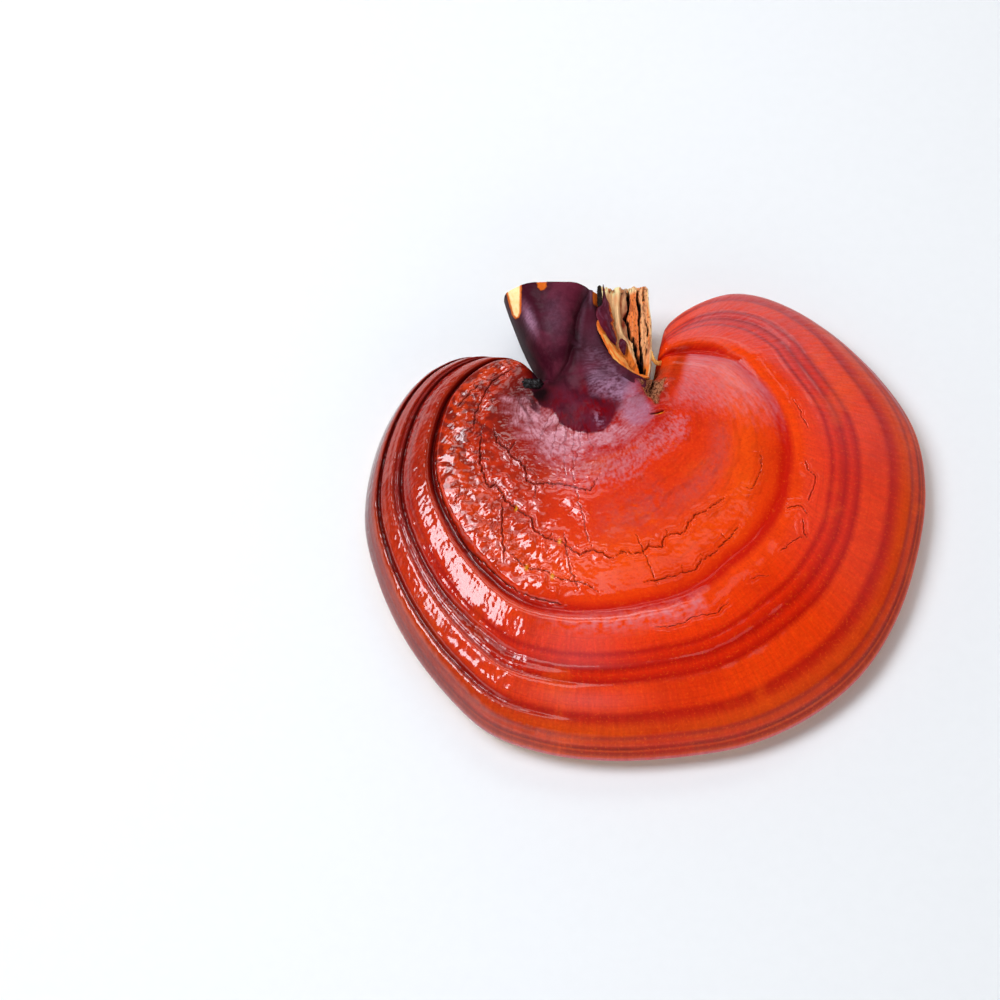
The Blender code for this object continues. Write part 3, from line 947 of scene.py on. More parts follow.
@dataclass
class CapForm:
    """The cap's form: where its growth coordinates lie in plan, and its heights.

    margin is an outline in plan. crest_share, neck and ravine (the growth of the right lobe's furrow) are
    tables over turn, and relief and soft_relief over the ring coordinate. The right lobe's bands swing
    outwards by swing round the turn swing_turn.
    """

    margin: Pairs = (
        (-36, 41), (-42.5, 44.2), (-52, 44.6), (-62, 38.5), (-69.5, 27), (-74.1, 12), (-75.1, -3),
        (-71.6, -18), (-64.4, -34.2), (-54.4, -48.4), (-42.4, -60.1), (-28, -65.6), (-12, -67.6),
        (6.2, -66.7), (24.2, -63.5), (40.5, -56.1), (54.4, -44.7), (64.1, -30.2), (71.3, -11), (74.7, 8),
        (72.9, 25), (64.6, 40.6), (51, 55.4), (36.4, 64.7), (25.5, 66.8), (14, 62.5), (7, 56.5), (4.7, 50),
    )
    hub_centre: tuple[float, float] = (-12.5, 37)
    hub_radii: tuple[float, float] = (14.5, 12.5)
    crest_growth: float = 0.58
    crest_share: Pairs = ((0, 0.5), (0.1, 0.62), (0.2, 0.65), (0.3, 0.642), (0.4, 0.618), (0.5, 0.585),
        (0.56, 0.547), (0.66, 0.543), (0.72, 0.51), (0.78, 0.47), (0.85, 0.425), (0.9, 0.3), (0.93, 0.25),
        (1, 0.25))
    relief: Pairs = ((0, 24), (0.05, 21.6), (0.15, 19.5), (0.3, 20), (0.45, 19.8), (0.54, 19.2), (0.58, 17.2),
        (0.605, 18.3), (0.625, 18.6), (0.65, 18.3), (0.69, 17.5), (0.722, 16.55), (0.748, 15.65),
        (0.765, 15.2), (0.785, 15.45), (0.815, 15.55), (0.85, 14.8), (0.885, 13.8), (0.9, 13.1),
        (0.915, 13.3), (0.93, 13.05), (0.955, 12.25), (1, 10))
    soft_relief: Pairs = ((0, 24), (0.03, 22.5), (0.06, 21.3), (0.12, 20.4), (0.2, 19.7), (0.3, 19.75),
        (0.45, 19.8), (0.53, 19.3), (0.58, 18.3), (0.62, 18.5), (0.7, 17.3), (0.8, 15.4), (0.88, 13.8),
        (0.93, 12.8), (0.97, 11.6), (1, 10))
    neck: Pairs = ((0, -4), (0.18, -3), (0.34, -1), (0.45, 0.6), (0.62, 0.6), (0.76, -0.6), (0.82, -3),
        (0.9, -4), (1, -2))
    neck_reach: float = 0.14
    swing: float = 0.077
    swing_turn: float = 0.895
    margin_height: float = 6.0
    margin_wave: float = 0.7
    rim_share: float = 0.075
    notch_rounding: float = 5.0
    flat_to: float = 0.82
    underside_lift: float = 2.6
    ravine: Pairs = ((0.7, 0.1), (0.82, 0.24), (0.85, 0.3), (0.88, 0.42), (0.905, 0.56), (0.92, 0.66))
    stem: StemForm = field(default_factory=StemForm)

    def plan(self, growth: Grid, turn: Grid) -> Grid:
        """Plan position of every (growth, turn) pair of two equal-shaped arrays.

        A ray runs straight from the hub's arc to the margin, and a power law puts the ring at crest_growth on
        its own share of it. Below growth 0 the ray runs on inwards, under the stem.

        Args:
            growth, turn: rows by columns; turn is the same in every row.

        Returns:
            Rows by columns by (x, y).
        """
        across = turn[0]
        angle = math.pi * (1 + across)
        hub = np.stack([self.hub_centre[0] + self.hub_radii[0] * np.cos(angle), self.hub_centre[1]
            + self.hub_radii[1] * np.sin(angle)], axis=-1)
        rim = chain(self.margin, across)
        power = np.log(lookup(across, self.crest_share)) / math.log(self.crest_growth)
        share = np.where(growth > 0, np.abs(growth) ** power[None], growth)
        inward = np.array(self.hub_centre) - hub
        outside = hub[None] + (rim - hub)[None] * np.maximum(share, 0)[..., None]
        return outside + inward[None] * np.maximum(-share, 0)[..., None]

    def ring(self, growth: Grid, turn: Grid) -> Grid:
        """The ring coordinate: growth, less the outward swing of the bands in the right lobe.

        Args:
            growth, turn: rows by columns.

        Returns:
            The ring coordinate.
        """
        width = np.where(turn < self.swing_turn, 0.052, 0.075)
        share = step(0.52, 0.72, growth) * (1 - 0.4 * step(0.86, 0.95, growth))
        swing = self.swing * bump(turn, self.swing_turn, width) * share
        wander = 0.006 * np.sin(9 * turn + 1) * bump(growth, 0.75, 0.15)
        return growth - (swing + wander) * step(1, 0.985, growth)

    def plain(self, growth: Grid, turn: Grid) -> Grid:
        """The cap without fine relief: stepped bands on the left, softer ones over the front and right.

        Args:
            growth, turn: rows by columns.

        Returns:
            The height.
        """
        ring = unit(self.ring(growth, turn))
        stepped = step(0.42, 0.32, turn) + 0.45 * span(turn, 0.82, 0.9, 0.93, 0.97)
        stepped = stepped * step(0.4, 0.5, growth)
        height = stepped * glide(ring, self.relief) + (1 - stepped) * glide(ring, self.soft_relief)
        return height + glide(turn, self.neck) * np.exp(-(np.maximum(growth, 0) / self.neck_reach) ** 2)

    def edge_height(self, turn: Grid) -> Grid:
        """Height of the margin's outermost line, a slow wave."""
        return self.margin_height + self.margin_wave * np.sin(2 * math.pi * 1.5 * turn + 0.6)

    def at_notch(self, plan: Grid) -> Grid:
        """A share of 0 on the notch's edges, rising to 1 at notch_rounding from them as a quarter ellipse."""
        reach = np.minimum(*(np.linalg.norm(plan - side, axis=-1) for side in (plan[:, :1], plan[:, -1:])))
        return np.sqrt(1 - (1 - unit(reach / self.notch_rounding)) ** 2)

    def underside(self, growth: Grid) -> Grid:
        """Height of the pore face: flat out to flat_to, then rising as a square to underside_lift."""
        return self.underside_lift * unit((growth - self.flat_to) / (1 - self.flat_to)) ** 2

    def points(self, plan: Grid, turn: Grid, full: Grid, depth: Grid) -> Grid:
        """Points at full height where a row's depth is 1, and on the margin's line at 0 and at the notch."""
        edge = self.edge_height(turn)
        return np.dstack([plan, edge + (full - edge) * depth[:, None] * self.at_notch(plan)])


CRACKS: tuple[Crack, ...] = (
    Crack(((170, 262), (200, 254), (217, 240), (229, 232), (242, 234.5), (256, 224), (276, 221),
           (281, 232), (292, 254), (312, 240), (326, 224), (346, 214), (368, 210), (385, 214), (402, 219),
           (414, 222.5), (421, 204.5), (438, 180)), 0.34, 0.5),
    Crack(((229, 232), (228, 196)), 0.22, 0.3),
    Crack(((312, 245), (315, 284)), 0.24, 0.3),
    Crack(((160, 310), (200, 341), (211, 357), (228, 366.5), (239, 375), (248, 371), (250, 349),
           (267, 346), (276, 354.5), (292, 349), (301, 346), (323, 344), (329, 360), (334, 379),
           (340, 376), (351, 384.5), (368, 386), (375, 387), (385, 404), (396, 415.6), (413, 401),
           (424, 417), (432, 434), (441, 434), (448, 421), (460, 435)), 0.34, 0.6, 0.14),
    Crack(((436, 434), (448, 421), (460, 435), (474, 439), (483, 428), (491, 436), (499.6, 443),
           (506.6, 420), (522, 428), (534.6, 448), (547, 434), (561, 435), (581, 439), (614, 453)),
           0.27, 0.5, 0.16),
    Crack(((274, 365.5), (284, 404), (295, 453), (303.6, 483), (310.6, 521)), 0.34, 0.5),
    Crack(((305, 485.5), (320, 488), (340, 494), (357, 483), (371, 499), (393, 499), (406, 510),
           (417, 540)), 0.26, 0.4),
    Crack(((374, 169), (385, 218), (393, 262), (402, 311), (403, 349), (409, 382), (411, 401)),
           0.2, 0.25, 0.04),
    Crack(((374, 354.5), (379, 409), (386, 469), (396, 526)), 0.28, 0.4),
    Crack(((473, 376), (474, 436), (477, 491), (476, 545)), 0.2, 0.3, 0.05),
    Crack(((460, 526), (480, 526), (497, 528), (511, 537), (525, 545.5), (530, 537), (541.6, 540),
           (553, 545.5), (575, 540), (598, 529)), 0.26, 0.4, 0.12),
    Crack(((225, 490), (224, 520), (226, 545)), 0.26, 0.3),
    Crack(((640, 478), (642, 502), (655, 505), (675, 512), (700, 508)), 0.2, 0.25),
    Crack(((460, 655), (474, 664), (488, 662.5), (499.6, 656), (513.6, 667.5), (522, 674), (536, 667.5)),
           0.2, 0.3),
    Crack(((567, 657.5), (575, 668), (583.6, 681)), 0.18, 0.25),
    Crack(((606, 661), (617, 667.5), (627, 680), (635.6, 692.5)), 0.2, 0.3),
    Crack(((636, 706), (637, 690), (649.6, 667.5)), 0.24, 0.4, 0.2, 0.7),
    Crack(((648, 610), (651, 620), (659, 652.5), (655, 680)), 0.18, 0.3, 0.14, 0.7),
    Crack(((665, 666), (678, 675), (690, 682.5), (697, 677.5), (699, 656), (708, 647.5)),
           0.2, 0.3, 0.16, 0.7),
    Crack(((746, 670), (757, 662), (766, 664), (781, 660)), 0.2, 0.25, 0.08),
    Crack(((50, 330), (80, 360), (110, 352), (140, 370), (165, 360)), 0.26, 0.35),
    Crack(((90, 420), (105, 460), (120, 500)), 0.24, 0.35),
)
SLIT = Crack(((672, 109), (680, 118), (695, 137), (710, 153), (718, 162)), 0.6, 0.5, 0.2, 0.15)
GROOVE_CRACK = Crack(((150, 574), (200, 573), (220, 579), (242, 578), (256, 583.5), (270, 584), (292, 573),
    (312, 575.5), (351, 571), (396, 573)), 0.36, 0.4, 0, 0.7)
HAIRLINES: tuple[Crack, ...] = tuple(
    Crack(((t, 55), (t + 0.3 * slant, 85), (t + 0.8 * slant, reach - 20), (t + slant, reach)),
          0.17, 0.14, 0, 1.5)
    for t, reach, slant in ((250, 150, 30), (274, 120, -10), (296, 150, 24), (330, 190, 34), (343, 130, -12),
                            (362, 200, 20), (392, 150, -14), (410, 120, 20))
)


def crack_runs(form: CapForm, crack: Crack, number: int) -> list[tuple[Crack, Grid]]:
    """A crack's jagged line in plan, and the short twigs that leave it on alternate sides.

    Args:
        form: the cap's form.
        crack: the crack.
        number: its place in the list, which sets its wobble.

    Returns:
        Pairs of a crack and a line of points by (x, y), about CRACK_PITCH apart.
    """
    own = np.array(crack.points) / 1000
    steps = np.linalg.norm(np.diff(own, axis=0) * (300, 90), axis=1)
    length = np.concatenate([[0], np.cumsum(steps)])
    at = np.linspace(0, length[-1], max(8, int(length[-1] / CRACK_PITCH)))
    turn, growth = np.interp(at, length, own[:, 0]), np.interp(at, length, own[:, 1])
    growth = growth - 0.008 - 0.008 * step(0.42, 0.34, turn)
    line = form.plan(growth[None, :], turn[None, :])[0]
    wobble = [0.38 * noise(at / 1.7, part + number, 7)
              + 0.2 * noise(at / 0.7, part - number, 8) for part in (3.1, 9.7)]
    line = line + crack.jag * np.stack(wobble, axis=-1)
    runs = [(crack, line)]
    twigged = crack.width > 0.21 and crack.jag > 0.9
    for k in range(14, len(line) - 12 if twigged else 0, 27):
        draw = float(cell_hash(np.array(k), np.array(number), 5))
        away = line[k + 2] - line[k - 2]
        bearing = math.atan2(away[1], away[0]) + (0.7 + 0.6 * draw) * (1 if draw > 0.5 else -1)
        reach = np.arange(0, 1 + 1.2 * draw, CRACK_PITCH)
        bend = bearing + 0.9 * noise(reach / 0.9, 2.3 * k + number, 9)
        twig = line[k] + np.cumsum(CRACK_PITCH * np.stack([np.cos(bend), np.sin(bend)], axis=-1), axis=0)
        small = Crack((), 0.5 * crack.width, 0.45 * crack.depth, 0.4 * crack.lip)
        if len(twig) > 3:
            runs.append((small, np.vstack([line[k][None], twig])))
    return runs


def crack_lines(form: CapForm, cracks: tuple[Crack, ...], plan: Grid) -> tuple[Grid, Grid, Grid]:
    """How deep, how dark and how lipped the cracks leave each point.

    A crack tapers to both ends. The distance d to its nearest stretch gives the groove exp(-(d/w)^2) and the
    lip beside it.

    Args:
        form: the cap's form.
        cracks: the cracks.
        plan: rows by columns by (x, y).

    Returns:
        The groove's depth, its darkness from 0 to 1, and the lip's height.
    """
    shape = plan.shape[:2]
    flat = plan.reshape(-1, 2)
    groove, dark, lip = (np.zeros(len(flat)) for _ in range(3))
    runs = [run for number, crack in enumerate(cracks) for run in crack_runs(form, crack, number)]
    for number, (crack, line) in enumerate(runs):
        length = CRACK_PITCH * len(line)
        low, high = line.min(axis=0) - 2, line.max(axis=0) + 2
        near = np.nonzero(np.all((flat > low) & (flat < high), axis=1))[0]
        if not len(near):
            continue
        best = np.full(len(near), FAR)
        share = np.zeros(len(near))
        points = flat[near]
        for k, (a, b) in enumerate(zip(line, line[1:])):
            way = b - a
            u = unit(((points - a) @ way) / (way @ way + 1e-12))
            away = np.linalg.norm(points - a - u[:, None] * way, axis=1)
            closer = away < best
            best[closer] = away[closer]
            share[closer] = (k + u[closer]) / (len(line) - 1)
        end = np.minimum(share, 1 - share)
        taper = np.clip(end * 9, 0.12, 1) ** 0.6
        swell = 1 + 0.7 * noise(share * length / 1.6, number * 1.7, 11)
        width = 0.52 * crack.width * taper * swell
        strength = (0.35 + 0.65 * taper) * min(1, crack.depth / 0.3)
        black = unit(end * 40) * bump(best, 0, 0.72 * width) * strength
        curl = bump(best, 1.5, 0.8) * step(0.3, 1.2, best) + swell * bump(best - width, 0.26, 0.17)
        groove[near] = np.maximum(groove[near], crack.depth * taper * bump(best, 0, width))
        dark[near] = np.maximum(dark[near], black)
        lip[near] = np.maximum(lip[near], crack.lip * taper * curl)
    return groove.reshape(shape), dark.reshape(shape), lip.reshape(shape)


@dataclass
class Ground:
    """A grid over the cap's top, with what its relief and its marks are worked out from.

    across and out are turn and growth in millimetres, and around is across where the rays draw together.
    drawn is y less the sag of the hub's wrinkles. smear, speck, fine and wisp are noises, ravine is the way
    outwards from the right lobe's dark furrow, right is that lobe's window, and dull is a worn ring.
    """

    form: CapForm
    growth: Grid
    turn: Grid

    def __post_init__(self) -> None:
        """Work out the coordinates and noises."""
        growth, turn = self.growth, self.turn
        self.plan = self.form.plan(growth, turn)
        self.x, self.y = self.plan[..., 0], self.plan[..., 1]
        self.ring = self.form.ring(growth, turn)
        self.across, self.out = turn * ALONG, growth * OUTWARD
        self.around = turn * 62 * (1 + 2.2 * growth)
        self.drawn = self.y - 0.0114 * np.maximum(self.x + 22, 0) ** 2
        self.slant = (self.x + 0.5 * self.drawn, self.drawn - 0.3 * self.x)
        self.smear = 0.5 + 0.5 * fractal(self.x / 3, self.y / 2.2, 58, 3)
        self.speck = 0.9 * fractal(self.slant[0] / 3.6, self.slant[1] / 2.2, 53, 4)
        self.fine = noise(self.x / 0.62, self.drawn / 0.44, 54)
        self.wisp = fractal(self.across / 3.4 + 14 * growth, self.out / 1.1, 73, 4)
        self.ravine = growth - lookup(turn, self.form.ravine)
        self.right = span(turn, 0.74, 0.82, 0.95, 0.985)
        worn = bump(growth, 0.31, 0.06) * span(turn, 0.4, 0.45, 0.52, 0.57) * step(0.1, 0.6, self.smear)
        worn = np.maximum(worn, bump(growth, 0.365, 0.035) * span(turn, 0.5, 0.57, 0.7, 0.74))
        self.dull = worn * (0.75 + 0.5 * self.wisp)

    def tilts(self) -> tuple[Grid, Grid]:
        """The tilted facets: slope times the way uphill from a facet's middle, inside a bell window.

        Returns:
            Their height, and a mark of 0 to 1 for how near a facet each point is.
        """
        places = np.array([(f.growth, f.turn) for f in FACETS])
        middles = self.form.plan(places[None, :, 0], places[None, :, 1])[0]
        wander = np.stack([fractal(self.x / 2.4, self.y / 2.4, seed, 2) for seed in (66, 67)], axis=-1)
        z, near = np.zeros(self.x.shape), np.zeros(self.x.shape)
        for facet, middle in zip(FACETS, middles):
            away = self.plan - middle
            uphill = 0.81 * away[..., 0] + 0.59 * away[..., 1]
            distance = np.sum((away + 1.1 * wander) ** 2, axis=-1) / (1.15 * facet.reach) ** 2
            z += facet.slope * uphill * np.exp(-distance ** 1.7)
            near += facet.slope / 0.34 * np.exp(-0.6 * distance)
        fade = step(0.578, 0.56, self.growth)
        return z * fade, unit(near) * fade


@dataclass
class Cap:
    """The lacquered cap, in bands that meet ring to ring, and the pore face below.

    The sweeps are degrees round the margin's edge, where rim and pore face meet out of sight. The depths
    and second_ring, a growth, are tables over turn. rim_lines are (depth, ring, width),
    dark_rings (ring, width) where shade is painted in the left grooves, right_lines rings and flecks (turn,
    growth).
    suede, milk and gloss are outlines in plan: the brown dust in the right notch, the patch of painted mauve
    sheen beside it and the hub's painted sheen.
    """

    form: CapForm = field(default_factory=CapForm)
    under_stem: float = 0.55
    heart_growth: float = 0.31
    groove_growth: float = 0.585
    ridge_growth: float = 0.735
    columns: int = 1050
    coarse_columns: int = 620
    rows: int = 94
    outer_rows: int = 62
    heart_rows: tuple[int, int] = (26, 118)
    rim_rows: int = 34
    rim_sweep: float = 128.0
    pore_rows: tuple[int, int] = (16, 110)
    pore_sweep: float = 126.0
    groove_depth: Pairs = ((0, 0.5), (0.2, 0.8), (0.35, 0.6), (0.42, 0.35), (0.5, 0.22), (0.6, 0.12),
        (0.8, 0.15), (0.87, 0.35), (0.92, 0.7), (1, 0.5))
    second_depth: Pairs = ((0, 0.4), (0.2, 1), (0.31, 0.85), (0.36, 0.3), (0.45, 0.1), (1, 0.06))
    outer_depth: Pairs = ((0, 0.5), (0.2, 1.2), (0.32, 0.8), (0.365, 0.2), (0.4, 0.05), (1, 0.04))
    rim_lines: Path = ((0.16, 0.962, 0.005), (0.12, 0.981, 0.0022), (0.09, 0.9905, 0.0016))
    second_ring: Pairs = ((0.3, 0.175), (0.46, 0.17), (0.6, 0.175), (0.72, 0.22))
    dark_rings: Pairs = ((0.768, 0.016), (0.899, 0.012), (0.58, 0.012))
    right_lines: tuple[float, ...] = (0.716, 0.757, 0.796, 0.892)
    flecks: Pairs = ((0.2965, 0.332), (0.369, 0.3725), (0.337, 0.48), (0.3665, 0.484))
    suede: Pairs = ((-3.4, 34.5), (5, 34.5), (4.6, 31.5), (2.2, 26.6), (-0.6, 28.6))
    milk: Pairs = ((-6.8, 32.5), (-4, 32.4), (-1.8, 29), (0.6, 25.8), (1, 23), (-1, 20.8), (-4.2, 20.2),
        (-7.2, 22.6), (-6.4, 27))
    gloss: Pairs = ((-38, 28.6), (-36.5, 24), (-33.4, 18), (-28, 11.5), (-22, 9.6), (-18, 11.2), (-12.5, 13),
        (-6.8, 15.6), (-1.6, 18.4), (0.8, 22), (-0.4, 26), (-4, 28), (-10, 19), (-16, 18), (-22, 20),
        (-25.5, 23), (-27.8, 26.4), (-33, 29))

    def rings(self, g: Ground) -> Grid:
        """Grooves and crests that follow the growth rings, sharp on the left and soft elsewhere.

        Args:
            g: the grid.

        Returns:
            The height that they add.
        """
        turn, ring, across = g.turn, g.ring, g.across
        sharp = step(0.46, 0.34, turn)
        at = 0.577 + 0.003 * noise(across / 9, 0.3, 3)
        z = -glide(turn, self.groove_depth) * bump(ring, at, 0.006 + 0.012 * (1 - sharp))
        lobes = 0.5 + 0.5 * np.sin(across / 2.1 + 2 * noise(across / 14, 1.3, 4))
        z += span(turn, 0.1, 0.2, 0.51, 0.53) * (0.32 + 0.14 * lobes) * bump(ring, 0.612, 0.02)
        z += 0.06 * step(0.42, 0.32, turn) * bump(ring, 0.612, 0.022)
        at = 0.758 - 0.012 * step(0.27, 0.33, turn) + 0.0018 * noise(across / 4, 2.3, 5)
        z -= glide(turn, self.second_depth) * bump(ring, at, 0.0075)
        z -= (0.05 + 0.35 * sharp) * bump(ring, 0.798, 0.009) + 0.05 * bump(ring, 0.722, 0.008)
        z -= glide(turn, self.outer_depth) * bump(ring, 0.903 + 0.0015 * noise(across / 4, 3.3, 6), 0.0085)
        z -= sum(depth * bump(ring, at, width) for depth, at, width in self.rim_lines)
        return z - 0.05 * noise(ring * OUTWARD / 1.7, across / 60, 9) * step(0.62, 0.68, g.growth)

    def detail(self, g: Ground, cluster: Grid) -> Grid:
        """Relief finer than the solid's: rings, lumps, hammered lacquer, wrinkles and radial striations.

        Args:
            g: the grid.
            cluster: how near a tilted facet each point is.

        Returns:
            The height that it adds.
        """
        x, y, growth, turn, across = g.x, g.y, g.growth, g.turn, g.across
        bend = 0.4 * noise(x / 9, y / 9, 30)
        folds = creased((x + 0.6 * y) / 7.4 + bend, (y - 0.3 * x) / 5.2 - bend, 31)
        knead = creased((x + 0.2 * y) / 3.9 - bend, (y - 0.5 * x) / 2.4, 34)
        small = creased((x + 0.5 * y) / 2.2 + bend, (y - 0.4 * x) / 1.3, 32)
        broad = noise((x + 0.7 * y) / 8 + bend, (y - 0.7 * x) / 6, 36)
        rough = step(0.47, 0.35, turn) * (0.25 + 0.75 * step(0.22, 0.34, growth)) * (0.45 + 0.55 * cluster)
        hammer = rough * (0.3 * (folds - 0.3) + 0.2 * (knead - 0.3) + 0.08 * (small - 0.3) + 0.3 * broad)
        hammer += 0.006 * noise(x / 0.8, y / 0.8, 37)
        lumps = creased(x / 4.4, y / 3.4, 39, 2) - 0.3
        hammer += 0.16 * step(0.72, 0.6, turn) * bump(growth, 0.46, 0.12) * lumps
        z = self.rings(g) + 0.1 * fractal(x / 9, y / 9, 21, 2)
        z += span(growth, 0.17, 0.26, 0.545, 0.572) * hammer
        hub = span(growth, 0.03, 0.08, 0.14, 0.3) * step(0.78, 0.62, turn)
        wrinkles = 0.11 * fractal(x / 2.9, g.drawn / 1.4, 53, 3)
        z += hub * (wrinkles + 0.02 * noise(g.around / 1.6, g.out / 0.9, 43))
        tongue = step(-1, 1, inside(x, y, self.form.stem.tongue))
        z += tongue * (0.05 * fractal(x / 1.5, y / 3, 68, 2) + 0.03 * noise(x / 0.7, y / 1.1, 69))
        z += 0.05 * step(0.55, 0.62, turn) * step(0.3, 0.14, growth) * fractal(x / 3.5, y / 2.2, 45, 3)
        strong = 0.05 + 0.55 * step(0.45, 0.3, turn) + 0.08 * bump(turn, 0.9, 0.08)
        outward = g.ring * 90
        curl = 0.8 * noise(across / 3, outward / 3, 46)
        ripples = 0.1 * noise(across / 1.1 + curl, outward / 3.2, 47)
        ripples = ripples + 0.13 * noise(across / 3.4, outward / 7 + curl, 48)
        ripples = ripples + 0.22 * noise(across / 6, outward / 16, 49)
        return z + span(growth, 0.59, 0.64, 0.96, 1) * strong * ripples

    def bloom_and_sheen(self, g: Ground, core: Grid) -> Grid:
        """Painted sheen and highlights, in part a real pale waxy film: wrinkled round the hub, wispy outside
        it, smooth on the right, thin on the bands.

        Args:
            g: the grid.
            core: how far inside the hub's bloom each point lies, in millimetres.

        Returns:
            A mark from 0 to 0.9.
        """
        x, growth, turn, ring = g.x, g.growth, g.turn, g.ring
        # painted sheen and highlights round the hub, broken by darker islands
        isle = step(0.12, 0.42, fractal(g.slant[0] / 5.2 + 3, g.slant[1] / 3.2, 60, 3))
        wrinkle = fractal(g.around / 2 + 0.6 * g.speck, g.out / 0.62 + 0.8 * g.speck, 72, 3)
        cover = 0.4 + 0.17 * np.clip(core, -4, 3.4) + (0.62 - 0.3 * step(-10, 0, x)) * g.speck + 0.3 * g.fine
        bloom_and_sheen = 0.8 * step(-0.2, 1.2, cover) * (1 - 0.45 * isle) * (0.9 + 0.4 * g.smear) * step(-4, 0, core)
        bloom_and_sheen = bloom_and_sheen * (0.4 + 0.68 * step(-0.5, 0.05, wrinkle)) * (1 - 0.5 * step(-10, 1, x))
        # a wispy painted sheen on a second ring outside the hub
        second = bump(growth, lookup(turn, self.second_ring), 0.045) * span(turn, 0.3, 0.36, 0.68, 0.76)
        wispy = np.clip(0.72 * second + 0.5 * g.speck + 0.85 * g.wisp - 0.06, 0, 1.1)
        bloom_and_sheen = np.maximum(bloom_and_sheen, 0.36 * wispy * step(0.02, 0.6, second))
        # painted sheen over the right lobe's plateau, ending at its furrow
        strand = fractal(g.across / 7 + growth * 9, g.out / 1.3, 55, 3)
        edge = step(-0.7, 0.9, 16 * (turn - 0.75) + 0.3 * strand + 0.25 * g.wisp)
        lit = step(0.7, 0.78, turn) * step(-0.01, 0.06, g.ravine) * step(0.6, 0.585, growth) * edge
        sheen = np.clip(0.85 + 0.3 * strand + 0.24 * g.wisp, 0.2, 1.4)
        bloom_and_sheen += lit * (0.36 + 0.16 * step(0.82, 0.88, turn)) * sheen
        # faint painted sheen in streaks on the right lobe's bands
        hairs = 0.8 + 0.5 * fractal(g.across / 0.9 + growth * 26, g.out / 5, 56, 2)
        lobe = (0.15 * step(0.76, 0.88, turn) + 0.08) * span(turn, 0.7, 0.78, 0.93, 0.97)
        bloom_and_sheen += lobe * step(0.66, 0.72, growth) * hairs
        # faint painted sheen on the front and left bands
        bloom_and_sheen += 0.04 * span(turn, 0.58, 0.66, 0.76, 0.8) * span(growth, 0.62, 0.66, 0.88, 0.95)
        bloom_and_sheen += 0.1 * bump(turn, 0.395, 0.035) * span(ring, 0.64, 0.67, 0.75, 0.765)
        bloom_and_sheen += 0.13 * bump(turn, 0.4, 0.035) * bump(ring, 0.85, 0.03)
        # a pale mottled painted sheen along the front crest
        mottled = np.clip(0.5 + 0.7 * fractal(g.across / 3, g.out / 1.4, 59, 3), 0, 1.2)
        bloom_and_sheen += 0.5 * span(turn, 0.34, 0.42, 0.511, 0.519) * bump(growth, 0.62, 0.026) * mottled
        # a painted highlight line along the right lobe's margin
        bloom_and_sheen += 0.5 * g.right * bump(growth, 0.984, 0.0035)
        return np.clip(bloom_and_sheen + 0.1 * unit(g.dull), 0, 0.9)

    def shade(self, g: Ground) -> Grid:
        """The darker red: painted shadow over the left, painted shade in the left bands' grooves and by the
        knob, and darker tone in rings and lines on the bands and in streaks on the plateau.

        Args:
            g: the grid.

        Returns:
            A mark from 0 to 1.
        """
        x, y, growth, turn, ring = g.x, g.y, g.growth, g.turn, g.ring
        # painted shadow over the left lobe, and painted shade on its outer margin
        shade = 0.3 * step(0.25, 0.16, turn) + (0.36 + 0.2 * step(0.6, 0.57, growth)) * step(0.4, 0.27, turn)
        shade += 0.35 * step(0.93, 0.98, growth) * step(0.4, 0.28, turn)
        shade *= 1 - 0.5 * step(0.35, 0.6, g.smear) * span(growth, 0.2, 0.3, 0.55, 0.57)
        # painted shade in the left bands' grooves
        shade += 0.35 * step(0.4, 0.28, turn) * sum(bump(ring, at, width) for at, width in self.dark_rings)
        shade += 0.3 * g.right * sum(bump(ring, at, 0.0055) for at in self.right_lines)
        shade += 0.4 * g.right * bump(growth, 0.972, 0.004)
        shade += 0.32 * span(turn, 0.72, 0.8, 0.9, 0.95) * bump(g.ravine, -0.05, 0.06)
        # darker red patches below the hub, and painted shade by the knob in the left notch
        shade += spots(x, y, (0.2, -16, 7.5, 8.4, 2)) + spots(x, y, (0.5, -31.5, 3.2, 30.4, 2.4))
        inner = span(growth, 0.12, 0.2, 0.52, 0.57) * step(0.4, 0.5, turn)
        tone = noise(g.out / 2.1 + 0.5 * noise(turn * 30, 1.7, 64), turn * 9, 62)
        tone = tone + 0.8 * noise(g.out / 0.8, turn * 26, 65)
        shade += inner * (0.13 * step(0, 0.8, tone) + 0.1 * step(0.1, 0.7, g.smear - 0.3 + 0.5 * g.speck))
        shade += 0.2 * g.dull + 0.13 * bump(growth, 0.5, 0.05) * bump(turn, 0.69, 0.045)
        shade += 0.16 * bump(turn, 0.93, 0.05) * step(0.6, 0.4, growth) + 0.1 * step(0.84, 0.94, turn)
        return unit(shade)

    def marks(self, g: Ground, cluster: Grid) -> Marks:
        """Where the lacquer changes: dark skin, painted sheen with some pale waxy film, dust, bare flesh,
        painted shadow and shade with darker tone, flecks, satin and bands.

        Args:
            g: the grid.
            cluster: how near a tilted facet each point is.

        Returns:
            The marks by name.
        """
        x, y, growth, turn = g.x, g.y, g.growth, g.turn
        marks = self.form.stem.marks(x, y)
        ragged = fractal(x / 2.6, y / 2.6, 51, 3)
        pocket = 0.9 * step(0.8, 0.84, turn) * step(0.24, 0.08, growth + 0.02 * ragged)
        corner = 0.95 * step(0.2, 0.1, turn) * step(0.15, 0, growth + 0.05 * (g.smear - 0.5))
        dust = step(-0.6, 0.8, inside(x, y, self.suede) + 0.9 * ragged)
        away = np.linalg.norm(g.plan - g.plan[:, -1:], axis=-1)
        tan = 0.45 * step(0.85, 0.9, turn) * span(growth, 0.15, 0.2, 0.4, 0.5) * step(5, 1, away + ragged)
        chip = step(-0.1, 0.25, noise(g.out / 3.4, 4 + away / 6, 57)) * step(1.1, 0.4, away)
